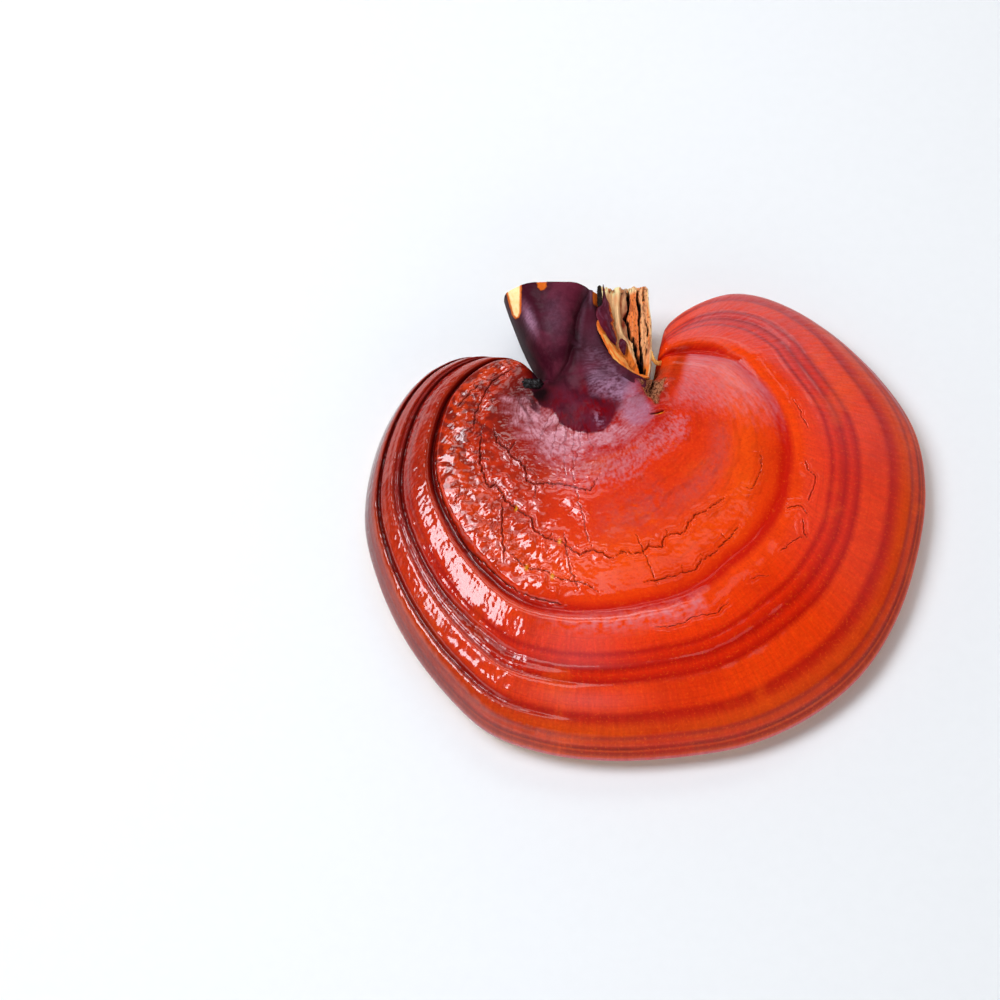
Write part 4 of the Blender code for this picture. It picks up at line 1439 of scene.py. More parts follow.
        # a patch of painted mauve sheen beside the dust
        milk = step(-1.8, 1.8, inside(x, y, self.milk) + 0.9 * g.speck)
        mauve = 0.56 * milk * unit(0.86 + 0.3 * g.fine + 0.25 * g.speck)
        fleck = sum(bump((turn - at) * 3.4, 0, 0.006) * bump(growth, out, 0.008) for at, out in self.flecks)
        slant = growth - 0.136 - 1.18 * (turn - 0.694)
        fleck = fleck + 0.8 * bump(turn, 0.694, 0.012) * bump(slant, 0, 0.0035)
        core = inside(x, y, self.gloss)
        front = step(0.38, 0.47, turn) * step(0.6, 0.57, growth) + step(0.42, 0.52, turn)
        satin = np.maximum(1.3 * unit(front), 1.45 * step(-4, 0, core))
        satin = np.maximum(satin, 1.5 * step(0.925, 0.95, growth) * span(turn, 0.32, 0.42, 0.76, 0.86))
        return marks | {
            "tongue": unit(np.maximum(marks["tongue"], np.maximum(pocket, corner))),
            "mauve": unit(mauve * (1 - dust)),
            "dust": unit(dust + tan),
            "bare": chip * span(growth, 0.28, 0.36, 0.8, 0.9),
            "bloom_and_sheen": self.bloom_and_sheen(g, core),
            "fleck": unit(fleck),
            "shade": self.shade(g),
            "satin": satin,
            "bands": step(0.55, 0.65, growth) * (0.55 + 0.45 * step(0.45, 0.35, turn)),
            "peel": 0.14 + step(0.47, 0.36, turn) * (0.02 + 0.1 * cluster + 0.6 * step(0.56, 0.62, growth)),
        }

    def band(self, name: str, finish: Material, rows: Grid, columns: int,
             rim: bool = False) -> None:
        """One band of the cap's top.

        One extra row beyond each border gives the shading normals there, so that bands meet without a line.
        With rim, the last rows follow a quarter ellipse round the margin and a little way under it.

        Args:
            name: the piece's name.
            finish: its material.
            rows: growth of each row.
            columns: how many columns.
            rim: whether the band ends at the margin.
        """
        form = self.form
        after = [] if rim else [2 * rows[-1] - rows[-2]]
        rows = np.concatenate([[2 * rows[0] - rows[1]], rows, after])
        depth = np.ones_like(rows)
        under = np.zeros(len(rows), bool)
        if rim:
            angle = np.linspace(0, 1, self.rim_rows)[1:] * math.radians(self.rim_sweep)
            rows = np.concatenate([rows, rows[-1] + (1 - rows[-1]) * np.sin(angle)])
            depth = np.concatenate([depth, np.abs(np.cos(angle))])
            under = np.concatenate([under, angle > math.pi / 2])
        g = Ground(form, *np.broadcast_arrays(rows[:, None], np.linspace(0, 1, columns)[None, :]))
        tilted, cluster = g.tilts()
        groove, dark, lip = crack_lines(form, CRACKS + (SLIT, GROOVE_CRACK) + HAIRLINES, g.plan)
        top = form.plain(g.growth, g.turn) + self.detail(g, cluster) + tilted - groove + lip
        top = smooth_max(top, form.stem.top_height(g.x, g.y) - 0.06, 1.8)
        points = form.points(g.plan, g.turn, np.where(under[:, None], form.underside(g.growth), top), depth)
        normals = grid_normals(points)
        normals[:, 0], normals[:, -1] = normals[:, 1], normals[:, -2]
        marks = self.marks(g, cluster) | {"crack": dark}
        uv = np.stack([g.turn, g.ring], axis=-1)
        keep = slice(1, None if rim else -1)
        piece = sheet(name, points[keep], uv[keep], normals=normals[keep],
            marks={key: values[keep] for key, values in marks.items()})
        settle(piece, finish, "cap")

    def pore_face(self, finish: Material) -> None:
        """The underside: from under the margin in to the hub, flat where the cap rests.

        Args:
            finish: its material.
        """
        form = self.form
        start = 1 - form.rim_share
        angle = np.linspace(math.radians(self.pore_sweep), math.pi, self.pore_rows[0])
        inner = np.linspace(start, 0, self.pore_rows[1])[1:]
        rows = np.concatenate([start + (1 - start) * np.sin(angle), inner])
        depth = np.concatenate([np.abs(np.cos(angle)), np.ones(len(inner))])
        columns = np.linspace(0, 1, self.coarse_columns)
        growth, turn = np.broadcast_arrays(rows[:, None], columns[None, :])
        plan = form.plan(growth, turn)
        x, y = plan[..., 0], plan[..., 1]
        uneven = 0.05 * np.maximum(0, 1 + fractal(x / 7, y / 7, 61, 3)) * step(0, 0.1, growth)
        # darker in towards the hub, under the stem
        stain = step(0.12, 0, growth) * (0.6 + 0.4 * noise(x / 3, y / 3, 63))
        piece = sheet("pore_face", form.points(plan, turn, form.underside(growth) + uneven, depth),
            np.stack([turn, growth], axis=-1), marks={"tongue": unit(stain)})
        settle(piece, finish, "cap")

    def build(self, lacquer: Material, pores: Material) -> None:
        """Make the four bands of the top and the pore face.

        Args:
            lacquer: the top's finish.
            pores: the underside's finish.
        """
        hub = np.linspace(-self.under_stem, 0, self.heart_rows[0])[:-1]
        heart = np.concatenate([hub, np.linspace(0, self.heart_growth, self.heart_rows[1])])
        outer = np.linspace(self.ridge_growth, 1 - self.form.rim_share, self.outer_rows)
        self.band("cap_heart", lacquer, heart, self.coarse_columns)
        plateau = np.linspace(self.heart_growth, self.groove_growth, self.rows)
        self.band("cap_plateau", lacquer, plateau, self.columns)
        ridge = np.linspace(self.groove_growth, self.ridge_growth, self.rows)
        self.band("cap_ridge", lacquer, ridge, self.columns)
        self.band("cap_bands", lacquer, outer, self.columns, rim=True)
        self.pore_face(pores)


# ---- the stem

@dataclass
class Stem:
    """The dark side stem: a lofted tube from under the cap's fillet to its sawn end.

    chip and orange outline two windows in the skin as the camera sees them. knobs are (place, half size).
    """

    form: StemForm = field(default_factory=StemForm)
    start_at: float = 23.5
    cut_at: float = 60.0
    around: int = 420
    stations: int = 220
    chip: Pairs = ((-37.8, 61), (-33.6, 61), (-33.75, 56), (-33.85, 49.8), (-34.3, 48.5), (-34.9, 48.4),
        (-35.6, 49.4), (-36.3, 51.8), (-36.8, 54), (-37.4, 56.5))
    orange: Pairs = ((-29.5, 62), (-26.6, 62), (-26.7, 57), (-27.4, 55.8), (-28.5, 55.8), (-29.3, 56.8))
    knobs: tuple[Path, ...] = (((-31, 33.8, 18.7), (2.4, 1.1, 1.1)), ((-29.3, 32.9, 19.3), (1.7, 1.3, 1.3)),
        ((-31.4, 32.9, 18.5), (1.9, 0.9, 0.9)))

    def section_grid(self) -> tuple[Grid, Grid]:
        """The stem's skin: superellipse sections along y.

        Returns:
            The points, rows by columns by (x, y, z), and the angle round the section at each.
        """
        form = self.form
        y = np.linspace(self.start_at, self.cut_at, self.stations)[:, None]
        angle = np.linspace(0, 2 * math.pi, self.around, endpoint=False)[None, :]
        across, upward = np.cos(angle), np.sin(angle)
        left, right = glide(y, form.left), glide(y, form.right)
        low, high = glide(y, form.underside), glide(y, form.top)
        power = np.where(across > 0, form.boxy_power, form.round_power)
        x = (left + right) / 2 + (right - left) / 2 * np.sign(across) * np.abs(across) ** (2 / power)
        lift = np.sign(upward) * np.abs(upward) ** (2 / power)
        level, rise = (low + high) / 2, (high - low) / 2
        z = level + rise * lift
        u = unit(np.abs(x - (left + right) / 2) / ((right - left) / 2))
        z = z + np.where(upward > 0, form.lobe(x, y) * np.sqrt(unit(1 - u ** power)), 0)
        ripple = 0.14 * fractal(x / 6, y / 6 + z / 5, 71, 3) + 0.03 * noise(x / 1.1 + z / 1.1, y / 1.1, 73)
        z = z + ripple * step(27, 33, y) * np.sign(lift)
        lean = form.cut_lean * np.maximum(0, y - 48) / 12
        far = ((y - self.start_at) / (self.cut_at - self.start_at)) ** 6
        arc = 0.8 * step(-30, -38.5, x) + 1.7 * step(-21, -12, x)
        return np.dstack([x, y - lean * (z - level) - far * arc, z]), angle + 0 * y

    def knob(self, finish: Material) -> None:
        """Black lumps of dried skin in the left notch: three balls run together, r = 1 + noise.

        Args:
            finish: their material.
        """
        turns, down = np.linspace(0, 2 * math.pi, 96, endpoint=False), np.linspace(0.02, math.pi - 0.02, 64)
        across, up = np.meshgrid(turns, down)
        way = np.stack([np.sin(up) * np.cos(across), np.sin(up) * np.sin(across), np.cos(up)], axis=-1)
        for number, (place, size) in enumerate(self.knobs):
            rough = noise(way[..., 0] * 2.3 + 3 * number, way[..., 1] * 2.3 + way[..., 2] * 1.7, 85)
            ball = np.array(place) + way * np.array(size) * (1 + 0.22 * rough[..., None])
            lump = sheet(f"notch_knob_{number}", ball, wraps=True, closed_ends=True)
            settle(lump, finish, "stem")

    def skin(self, points: Grid, finish: Material) -> None:
        """The lacquered skin with its windows of bare flesh, each a little lower than the skin.

        Args:
            points: the section grid, lowered in place where the skin is gone.
            finish: its material.
        """
        x, y, z = (points[..., k] for k in range(3))
        top, over = step(14, 20, z), step(12, 19, z)
        seen = y + 0.445 * (z - 29)
        chip = inside(x, seen, self.chip)
        ring = step(-0.45, -0.15, chip + 0.08 * noise(x / 0.9, y / 0.9, 83)) * top
        chip = step(0, 0.4, chip + 0.08 * noise(x / 0.9, y / 0.9, 81)) * top
        orange = step(-0.1, 0.3, inside(x, seen, self.orange) + 0.15 * noise(x, y, 82)) * top
        rust = step(0.9, 0.5, np.abs(x + 13.6 - 0.1 * np.sin(y))) * step(52.4, 53.6, y) * top
        points[..., 2] -= 0.35 * chip + 0.25 * orange + 0.5 * rust
        marks = {key: mark * over for key, mark in self.form.marks(x, y).items() if key != "tongue"}
        # painted shade: the left flank and the lower part of the stem darkened into pitch
        shadow = 0.8 * step(-29.2, -32.4, x + 0.42 * (y - 44)) + 0.6 * step(12, 4, z)
        marks["pitch"] = unit(np.maximum(marks["pitch"], shadow))
        # a painted glint along the ridge beside the torn edge
        marks["painted_sheen"] = unit(marks["painted_sheen"] + 0.35 * bump(x, -14.9, 0.5) * step(50, 54, y) * over)
        marks |= {"bare": chip, "amber": unit(orange + rust + ring)}
        settle(sheet("stem_skin", points, wraps=True, marks=marks), finish, "stem")

    def end(self, border: Grid, angle: Grid, finish: Material) -> None:
        """The corky disc of the sawn end, a little hollow, with faint rays.

        Args:
            border: the skin's last ring of points.
            angle: the angle round the section at each of them.
            finish: its material.
        """
        middle = border.mean(axis=0)
        reach = np.linspace(1, 0.02, 60)[:, None]
        disc = middle + (border[None] - middle) * reach[..., None]
        rays = noise(angle[None] * 14, reach * 5, 91)
        hollow = 0.5 * (1 - reach) ** 0.5 + 0.12 * rays + 0.1 * noise(disc[..., 0], disc[..., 2], 93)
        disc[..., 1] -= hollow * step(1, 0.9, reach)
        uv = np.stack(np.broadcast_arrays(angle[None] / (2 * math.pi), reach), axis=-1)
        settle(sheet("cut_end", disc, uv, wraps=True), finish, "stem")

    def build(self, lacquer: Material, cork: Material, pitch: Material) -> None:
        """Make the skin, the lumps in the notch and the sawn end.

        Args:
            lacquer: the skin's finish.
            cork: the sawn end's.
            pitch: the lumps'.
        """
        points, angle = self.section_grid()
        self.skin(points, lacquer)
        self.knob(pitch)
        self.end(points[-1], angle[-1], cork)


# ---- the torn wood

class Coating(Enum):
    """What a torn strip shows: raw amber or yellow wood, the stem's dark skin, or dried bark."""

    AMBER = "amber"
    YELLOW = "yellow"
    SKIN = "skin"
    BARK = "bark"


@dataclass(frozen=True)
class Split:
    """A ragged split down the torn face: its path and half width as tables over y, and its depth."""

    path: Pairs
    half_width: Pairs
    depth: float


@dataclass(frozen=True)
class Strip:
    """A thin torn strip between two edge curves, thickest in the middle and bowed up by bow."""

    name: str
    coating: Coating
    left: Path
    right: Path
    thick: float = 0.6
    bow: float = 0.4
    fray: float = 0.12
    torn_edge: float = 0.0


@dataclass
class TornWood:
    """The wood torn open along the stem's right flank, with the lip and flap of skin over it.

    It runs in y from start over length, and its frayed end never passes end_limit. foot is its lower side.
    left, right, crest and ridge are tables over y: the torn face's borders, its height and its folded ridge.
    """

    start: float = 34.6
    length: float = 26.1
    end_limit: float = 60.75
    foot: float = 7.0
    left: Pairs = ((34.6, -2.3), (37, -5.6), (40, -8.2), (46, -11.1), (52, -11.6), (61, -12.2))
    right: Pairs = ((34.6, 0.5), (36, 0.8), (38, 1.2), (40, 1.45), (45, 1.6), (50, 1.65), (54.8, 1.15),
        (58, 0.95), (61, 0.9))
    crest: Pairs = ((34.6, 17.6), (37, 19), (40, 20), (48, 21.6), (61, 23))
    ridge: Pairs = ((35, -1.4), (36.4, -2), (38.7, -2.9), (41.3, -4.1), (44.8, -5.3), (47.1, -6.7),
        (50.9, -7.4), (54.8, -7.5), (61, -7))
    splits: tuple[Split, ...] = (
        Split(((34.8, -0.7), (37.1, -1.3), (40, -2.2), (41.9, -2.8), (44.5, -3.3), (46.4, -4.4), (49, -4.8),
               (51.6, -5.5), (53.5, -4.6), (56.4, -4.6), (59.7, -4.8)),
              ((34.8, 0.8), (38, 0.7), (40, 0.5), (42, 0.3), (46, 0.3), (49, 0.2), (52, 0.3), (54.4, 0.1),
               (56.5, 0.34), (58.6, 0.28), (59.6, 0)), 3.4),
        Split(((36, -0.6), (38.7, -1.2), (41.9, -1.5), (46.4, -1.7), (50, -1.8), (52.2, -1.6), (54.8, -1.7),
               (56.1, -2.1), (59.6, -2)),
              ((36, 0.3), (39, 0.25), (42, 0.18), (46, 0.08), (50, 0.1), (52, 0.2), (55, 0.26), (57, 0.16),
               (59.6, 0.1)), 2.4),
        Split(((38.7, 0.3), (41.9, 0), (43.8, 0.2), (47.7, 0.5), (50.9, 0), (54, 0.2)),
              ((38.7, 0), (42, 0.05), (44, 0.03), (48, 0.08), (51, 0.04), (54, 0)), 0.9),
        Split(((55.6, -0.7), (57.5, -0.5), (60.4, -0.4)),
              ((55.6, 0), (57, 0.08), (60.4, 0.06)), 0.9),
    )
    strips: tuple[Strip, ...] = (
        Strip("torn_lip", Coating.AMBER,
              ((-13.5, 48.9, 25.6), (-13.2, 46.5, 25.2), (-11.7, 43.1, 24.8), (-10.1, 39.8, 24.4),
               (-8.6, 37.2, 23.9), (-6.4, 35.2, 23), (-4.2, 34.6, 21.6), (-1.4, 34.3, 20.1), (0.9, 34.7, 19)),
              ((-12.4, 49.3, 24.9), (-11.5, 48, 23.6), (-10.3, 45.6, 22.8), (-8.7, 43.1, 22.2),
               (-6.7, 40.5, 21.6), (-5.3, 38.9, 21), (-4.3, 37, 20.2), (-2.3, 36.1, 19.4),
               (0.9, 35.3, 18.8)), 0.7, 0.3, 0.2),
        Strip("skin_flap", Coating.SKIN,
              ((-8.4, 42.9, 22.6), (-9.9, 43.9, 23.6), (-10.8, 45.3, 24.4), (-12.1, 47, 25.2),
               (-13, 48.8, 25.8), (-13.5, 50.2, 26.4), (-13.3, 51.7, 26.6), (-12.2, 53.2, 26.2),
               (-11.6, 56.3, 25.8), (-11.6, 59.6, 25.9)),
              ((-8.2, 42.8, 22.7), (-7.8, 44.4, 22.7), (-8, 45.9, 22.8), (-8.9, 49, 23), (-8.6, 50, 23.1),
               (-9.1, 52.1, 23.5), (-9.7, 54.7, 24), (-10.5, 56.3, 24.4), (-10.9, 57.9, 24.8),
               (-11.3, 59.9, 25.4)), 0.5, 0.5, 0.05, 0.8),
        Strip("skin_scrap", Coating.SKIN,
              ((-7.2, 44.6, 22.9), (-7.4, 43, 22.4), (-6.8, 41.5, 21.8), (-6, 40.4, 21.3)),
              ((-6.4, 44.6, 23), (-5.4, 43.9, 22.6), (-5.3, 42.5, 22), (-5.7, 40.4, 21.4)),
               0.4, 0.4, 0.05, 0.3),
        Strip("bark_sliver", Coating.BARK,
              ((-13.1, 52.2, 26.6), (-13.2, 55, 27), (-13.1, 58.2, 27.6)),
              ((-11.9, 53.1, 26.4), (-11.8, 55.8, 26.8), (-12.1, 58.4, 27.4)), 0.7, 0.3, 0.2),
        Strip("yellow_flap", Coating.YELLOW,
              ((1, 42.5, 20.2), (1.4, 40.4, 19.2), (2.6, 39.4, 18), (4.3, 39.7, 16.6)),
              ((1.7, 42.5, 20.2), (2.3, 40.8, 19.4), (3.1, 40.5, 18.2), (4.5, 41.2, 16.8)), 0.5, 0.2, 0.1),
    )

    def face(self, x: Grid, y: Grid) -> tuple[Grid, Grid]:
        """The torn face over plan.

        A folded ridge runs down it between two hollows, panels swell between the splits, creased noise drawn
        out along +Y is the grain, and each split cuts a slot with ragged sides.

        Args:
            x, y: the points in plan.

        Returns:
            The face's height, and the painted shade along its splits.
        """
        ridge = glide(y, self.ridge)
        z = glide(y, self.crest) + 0.3 * noise(x / 2.6, y / 9, 101)
        z = z + 0.9 * bump(x, ridge, 0.5) - 0.7 * bump(x, ridge - 1.6, 0.9) * step(40, 46, y)
        z = z - 0.8 * bump(x, ridge + 1.2, 0.6)
        z = z + 0.45 * bump(x, -3.2, 0.8) + 0.6 * bump(x, -0.9, 0.55) + 0.3 * bump(x, 0.9, 0.4)
        z = z + 0.3 * (creased(x / 0.5 + 0.5 * noise(x / 3, y / 6, 102), y / 9, 103, 2) - 0.3)
        z = z + 0.05 * noise(x / 0.16, y / 2.4, 105)
        dark = np.zeros_like(z)
        for number, split in enumerate(self.splits):
            wander = 0.16 * noise(y / 1.3, number * 3.7, 107) + 0.07 * noise(y / 0.45, number * 5.1, 108)
            away = np.abs(x - glide(y, split.path) - wander)
            first, last = split.path[0][0], split.path[-1][0]
            ends = span(y, first - 0.1, first + 0.4, last - 0.5, last + 0.1)
            half = glide(y, split.half_width) * (1 + 0.7 * noise(y / 1.5, number * 2.9, 109)) * ends
            is_open = step(0.02, 0.08, half)
            z = z - split.depth * step(half + 0.16, half, away) * is_open
            z = z + 0.22 * bump(away, half + 0.28, 0.16) * is_open
            # painted shade along the split's ragged sides
            split_shade = step(half + 0.3, half + 0.02, away + 0.26 * noise(x / 0.4, y / 0.9, 110)) * is_open
            dark = np.maximum(dark, split_shade)
        return z, dark

    def stains(self, x: Grid, y: Grid, dark: Grid) -> Marks:
        """Where the wood is tan, amber, rusty, bright or dark; rust also holds the painted shadow beside the
        ridge, and dark the painted shade along the splits.

        Args:
            x, y: the points in plan.
            dark: how dark the splits are.

        Returns:
            The marks, each from 0 to 1.
        """
        ridge = glide(y, self.ridge)
        streak = 0.5 + 0.5 * noise(x / 0.42, y / 6, 121)
        patch = fractal(x / 1.6, y / 4, 123, 3)
        first = glide(y, self.splits[0].path)
        tan = step(-0.5, 0.3, x - first) * (0.9 - 0.5 * step(-1.9, -1.5, x)) + 0.35 * step(0.5, 0.8, streak)
        amber = np.max([
            step(1.3, 0.2, x - glide(y, self.left) + 0.5 * patch) * step(0.45, 0.6, streak),
            step(45.5, 42, y + 1.2 * patch) * step(0.1, -0.4, x - ridge),
            step(39.6, 37.4, y + 0.8 * patch),
            0.8 * bump(x, -8.2 + 0.1 * (y - 47), 0.45) * step(50, 47.5, y),
            0.55 * step(0.5, 0.75, streak) * step(-5, -4, x),
        ], axis=0)
        # painted shadow beside the ridge, laid into the rust mark
        shadow = step(0.35, 0.8, x - ridge) * step(0.3, -0.2, x - first) * step(44, 47, y)
        speckle = step(0.25, 0.5, noise(x / 0.35, y / 0.8, 125)) * step(-5.2, -4.4, x) * step(40, 44, y)
        vein = step(0.1, 0.5, fractal(x / 0.8, y / 2.2, 130, 2)) * bump(x, -0.6, 0.7) * step(51, 53, y)
        rust = np.max([0.95 * shadow * (0.7 + 0.4 * patch) + 0.7 * speckle,
            0.5 * step(0.42, 0.6, patch) * step(-5, -4, x), 0.8 * vein], axis=0)
        bright = step(57.6, 59.6, y + 0.8 * patch) * step(-2, -4, x + 1.5 * patch)
        bright = np.maximum(bright, 0.8 * bump(x, glide(y, self.right) - 0.15, 0.22))
        dots = step(0.72, 0.8, noise(x / 0.6, y / 0.8, 127)) * step(0.3, 0.6, noise(x / 2.2, y / 3, 129))
        return {"tan": unit(tan), "amber": unit(amber), "rust": unit(rust), "bright": unit(bright),
                "split": unit(np.maximum(dark, 0.8 * dots))}

    def body(self, finish: Material) -> None:
        """The torn face with its sides and underside, a closed section carried along +Y to a broken end.

        Args:
            finish: its material.
        """
        share = np.linspace(0, 1, 330)[:, None]
        y = self.start + self.length * share
        face = np.linspace(1, 0, 230)
        side, foot = np.linspace(0, 1, 15), np.linspace(0, 1, 8)[1:]
        over = np.concatenate([face, np.zeros(14), foot, np.ones(14)])[None, :]
        down = np.concatenate([0 * face, side[1:], np.ones(7), side[:0:-1]])[None, :]
        left, right = glide(y, self.left), glide(y, self.right)
        x = left + (right - left) * over
        top, dark = self.face(x, y)
        border = unit(np.minimum(over, 1 - over) * (right - left) / 0.45)
        top = top - 0.7 * (1 - np.sqrt(1 - (1 - border) ** 2))
        z = top * (1 - down) + self.foot * down
        x = x + 0.15 * noise(z / 0.9 + 7 * over, y / 5, 131) * span(down, 0, 0.1, 0.9, 1)
        ragged = 0.7 * noise(x / 0.9, z / 9, 133) + 0.2 * noise(x / 0.3, z / 9, 134) - 0.5
        frayed = step(0.955, 1, share) * ragged
        below = np.maximum(top - z, 0)
        z = z + 0.9 * noise(x / 1.3, y / 9, 135) * step(0.6, 1, down)
        hollow = 1.6 + 1.3 * noise(x / 0.9 + z / 1.1, 0.5, 136)
        frayed = frayed - step(0.9, 1, share) * step(1, 9, below) * hollow
        points = np.dstack([x, np.minimum(y + frayed, self.end_limit), z])
        reach = np.linspace(1, 0.02, 40)[1:, None]
        middle = points[-1].mean(axis=0)
        broken = middle + (points[-1][None] - middle) * reach[..., None]
        fibre = noise(broken[..., 0] / 0.45, broken[..., 2] / 2.2, 137)
        fine = noise(broken[..., 0] / 0.2, broken[..., 2] / 1.2, 138)
        broken[..., 1] -= (0.8 + 0.9 * fibre + 0.4 * fine) * step(1, 0.9, reach)
        points = np.concatenate([points, broken])
        unfolded = x + below * np.where(over > 0.5, 1, -1)
        unfolded = np.concatenate([unfolded, broken[..., 0] + 0.4 * broken[..., 2]])
        dark = np.concatenate([dark * step(0.3, 0, down), 0 * fibre])
        marks = self.stains(unfolded, points[..., 1], dark)
        seams = step(0.42, 0.6, noise(unfolded / 0.55, points[..., 1] / 6, 139))
        # darker on the sides and underside, in seams
        lower = np.concatenate([step(0.1, 0.4, down) + 0 * x, 0 * fibre + 1])
        marks["rust"] = unit(marks["rust"] + 0.5 * lower * seams)
        marks["split"] = unit(marks["split"] + 0.3 * lower * (0.4 + seams))
        piece = sheet("torn_wood", points, wraps=True, closed_ends=True, marks=marks)
        settle(piece, finish, "split_wood")

    def strip(self, strip: Strip, seed: int, finish: Material) -> None:
        """One torn strip: a lens-shaped section between its two edge curves, with frayed edges.

        Args:
            strip: its curves and sizes.
            seed: the noise that frays it.
            finish: its material.
        """
        along = np.linspace(0, 1, 240)[:, None]
        left, right = (chain(curve, along[:, 0])[:, None, :] for curve in (strip.left, strip.right))
        angle = np.linspace(0, 2 * math.pi, 56, endpoint=False)[None, :]
        across = np.sign(np.cos(angle)) * np.abs(np.cos(angle)) ** 0.7
        fray = 1 + strip.fray * fractal(along * 14, np.sign(across) * 3 + seed, seed, 3)
        ends = np.sqrt(1 - (1 - np.clip(np.minimum(along, 1 - along) * 14, 0.04, 1)) ** 2)
        points = (left + right) / 2 + (right - left) / 2 * (across * fray * ends)[..., None]
        lift = np.sin(angle) * strip.thick / 2 * ends + strip.bow * (1 - across ** 2) * ends
        points[..., 2] += lift + 0.1 * noise(along * 16, across * 1.4, seed + 3)
        edge = step(0.62, 0.96, across + 0.16 * noise(along * 18, across, seed + 5))
        stain = step(0.2, 0.6, fractal(along * 7, across * 1.9, seed + 7, 3))
        side = across + 0.1 * noise(along * 20, across, seed + 8)
        stain = np.maximum(stain, step(-0.7, -0.95, side))
        # painted highlight: a light streak along each strip, in the bright mark and, on skin strips, as
        # painted sheen
        glow = fractal(along * 5, across * 2.4, seed + 9, 2) + 0.3 * bump(across, 0.3, 0.4)
        glow = step(0.1, 0.5, glow)
        zero = np.zeros_like(points[..., 0])
        marks = {"tan": zero, "amber": zero + strip.torn_edge * edge, "rust": zero + 0.6 * stain,
            "bright": zero + 0.8 * glow, "split": zero, "wine": zero + 0.4 * stain, "painted_sheen": zero
            + 0.12 * glow, "pitch": zero, "bare": zero}
        piece = sheet(strip.name, points, wraps=True, closed_ends=True, marks=marks)
        settle(piece, finish, "split_wood")

    def build(self, wood: Material, coatings: dict[Coating, Material]) -> None:
        """Make the torn body and its strips.

        Args:
            wood: the torn body's finish.
            coatings: the strips' finishes.
        """
        self.body(wood)
        for number, strip in enumerate(self.strips):
            self.strip(strip, 141 + 20 * number, coatings[strip.coating])


# ---- the studio

@dataclass(frozen=True)
class Softbox:
    """A rectangular lamp: where it stands and points, its size in metres and how brightly its face glows."""

    name: str
    place: tuple[float, float, float]
    aim: tuple[float, float, float]
    size: tuple[float, float]
    glow: float
    tint: tuple[float, float, float] = (1, 1, 1)


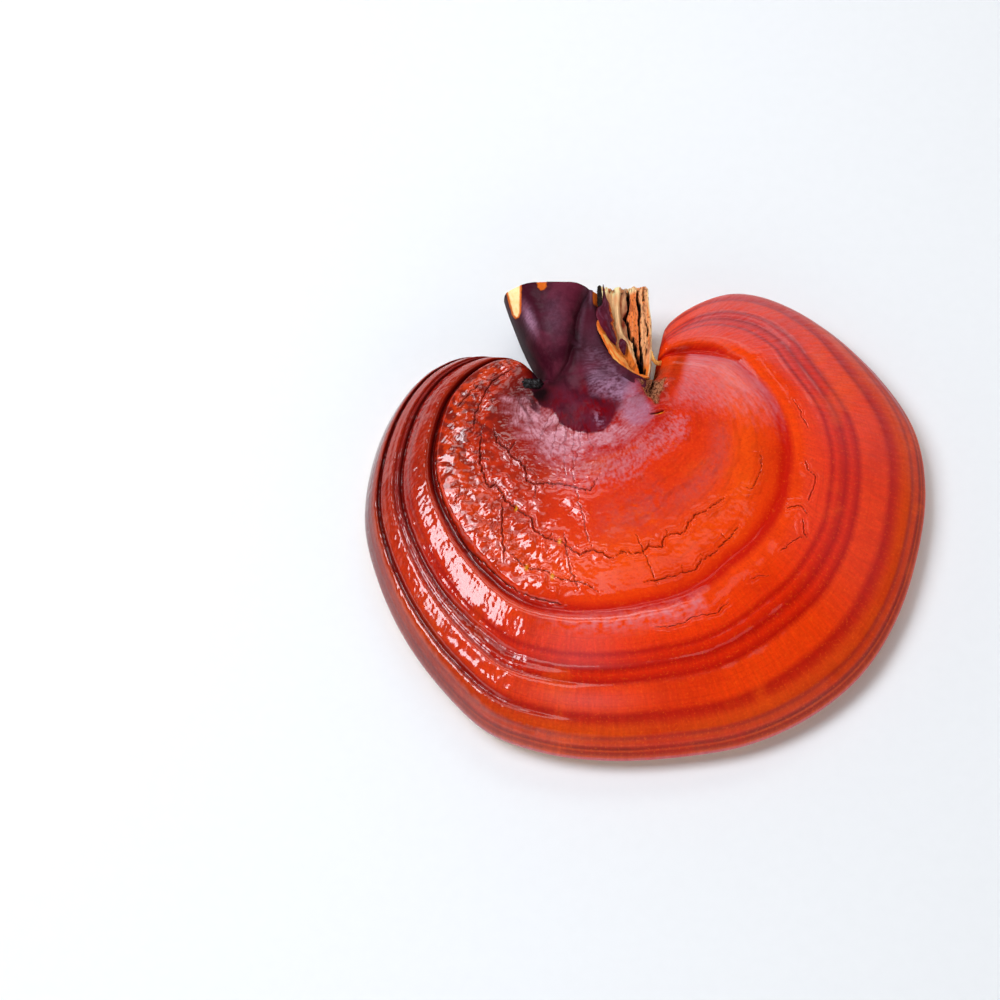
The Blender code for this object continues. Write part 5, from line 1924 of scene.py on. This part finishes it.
@dataclass
class Studio:
    """A pale table, softboxes, a bright surround and the camera.

    elevation is the camera's in degrees, lens and sensor are in millimetres, distance and target in metres.
    """

    elevation: float = 66.0
    lens: float = 85.0
    sensor: float = 36.0
    distance: float = 0.6381
    target: tuple[float, float, float] = (-0.0392, 0.0076, 0)
    lamps: tuple[Softbox, ...] = (
        Softbox("left", (-0.47, 0.03, 0.78), (0, 0, 0.02), (0.34, 0.42), 11.8, (0.86, 0.92, 1)),
        Softbox("brow", (-0.29, 0.25, 0.82), (0, 0, 0.02), (0.24, 0.2), 7, (0.9, 0.94, 1)),
        Softbox("over", (0.00, 0.19, 0.92), (-0.01, 0.02, 0.02), (0.5, 0.24), 1.8),
        Softbox("back", (0.08, 0.64, 0.66), (0, 0, 0.02), (0.6, 0.22), 2.8),
        Softbox("front", (0.3, -0.85, 0.4), (0, 0, 0.02), (1.4, 0.6), 0.9),
    )

    def lamp(self, box: Softbox) -> None:
        """Place one softbox.

        Args:
            box: its sizes, place and light.
        """
        data = bpy.data.lights.new(box.name, "AREA")
        data.shape, data.size, data.size_y = "RECTANGLE", *box.size
        data.energy = box.glow * math.pi * box.size[0] * box.size[1]
        data.color = box.tint
        lamp = bpy.data.objects.new(box.name, data)
        lamp.location = box.place
        lamp.rotation_mode = "QUATERNION"
        lamp.rotation_quaternion = (Vector(box.aim) - Vector(box.place)).to_track_quat("-Z", "Y")
        bpy.context.scene.collection.objects.link(lamp)

    def surround(self) -> None:
        """A world bright at the horizon and dim overhead, so that level lacquer stays deep in colour."""
        world = bpy.data.worlds.new("surround")
        world.use_nodes = True
        tree = world.node_tree
        way = tree.nodes.new("ShaderNodeTexCoord")
        split = tree.nodes.new("ShaderNodeSeparateXYZ")
        ramp = tree.nodes.new("ShaderNodeValToRGB")
        for stop, (position, level) in zip(ramp.color_ramp.elements, ((0, 1), (0.52, 0.04))):
            stop.position, stop.color = position, (level, level, level, 1)
        tree.links.new(way.outputs["Generated"], split.inputs[0])
        tree.links.new(split.outputs[2], ramp.inputs[0])
        tree.links.new(ramp.outputs[0], tree.nodes["Background"].inputs["Color"])
        tree.nodes["Background"].inputs["Strength"].default_value = 1.7
        bpy.context.scene.world = world

    def table(self) -> None:
        """A wide pale sheet just under the mushroom."""
        reach = np.array([-3000, 3000])
        x, y = np.meshgrid(reach, reach)
        floor = sheet("pale_table", np.dstack([x, y, np.full(x.shape, -0.02)]), flip=True)
        floor.data.materials.append(Paper().make())

    def camera(self) -> None:
        """The camera: elevation degrees above the table, looking along +Y."""
        data = bpy.data.cameras.new("camera")
        data.lens, data.sensor_width, data.clip_start, data.clip_end = self.lens, self.sensor, 0.01, 20
        camera = bpy.data.objects.new("camera", data)
        tilt = math.radians(self.elevation)
        back = Vector((0, -math.cos(tilt), math.sin(tilt)))
        camera.location = Vector(self.target) + back * self.distance
        camera.rotation_euler = (math.pi / 2 - tilt, 0, 0)
        bpy.context.scene.collection.objects.link(camera)
        bpy.context.scene.camera = camera

    def build(self) -> None:
        """Set up the table, lamps, surround and camera."""
        for box in self.lamps:
            self.lamp(box)
        self.surround()
        self.table()
        self.camera()
        bpy.context.scene.view_settings.view_transform = "Standard"
        log.info("studio: %d softboxes", len(self.lamps))


def main() -> None:
    """Load the frame, note how many nodes it has and build each sub-assembly in order."""
    logging.basicConfig(level=logging.INFO, format="%(name)s: %(message)s")
    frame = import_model()
    log.info("frame: %d nodes", len(frame["nodes"]))
    Cap().build(CapLacquer().make(), PoreFlesh().make())
    pitch = PitchSkin().make()
    skin = StemLacquer().make()
    Stem().build(skin, CorkFlesh().make(), pitch)
    amber = SplitGrain("torn_lip", (252, 128, 42), bright=(255, 196, 104), rust=(206, 74, 12))
    yellow = SplitGrain("yellow_flap", (248, 176, 84), bright=(255, 214, 130), rust=(214, 122, 44))
    coatings = {
        Coating.AMBER: amber.make(),
        Coating.YELLOW: yellow.make(),
        Coating.SKIN: skin,
        Coating.BARK: PitchSkin("dry_bark", (30, 22, 20), (74, 60, 52), 0, 0.8).make(),
    }
    TornWood().build(SplitGrain().make(), coatings)
    Studio().build()


if __name__ == "__main__":
    main()
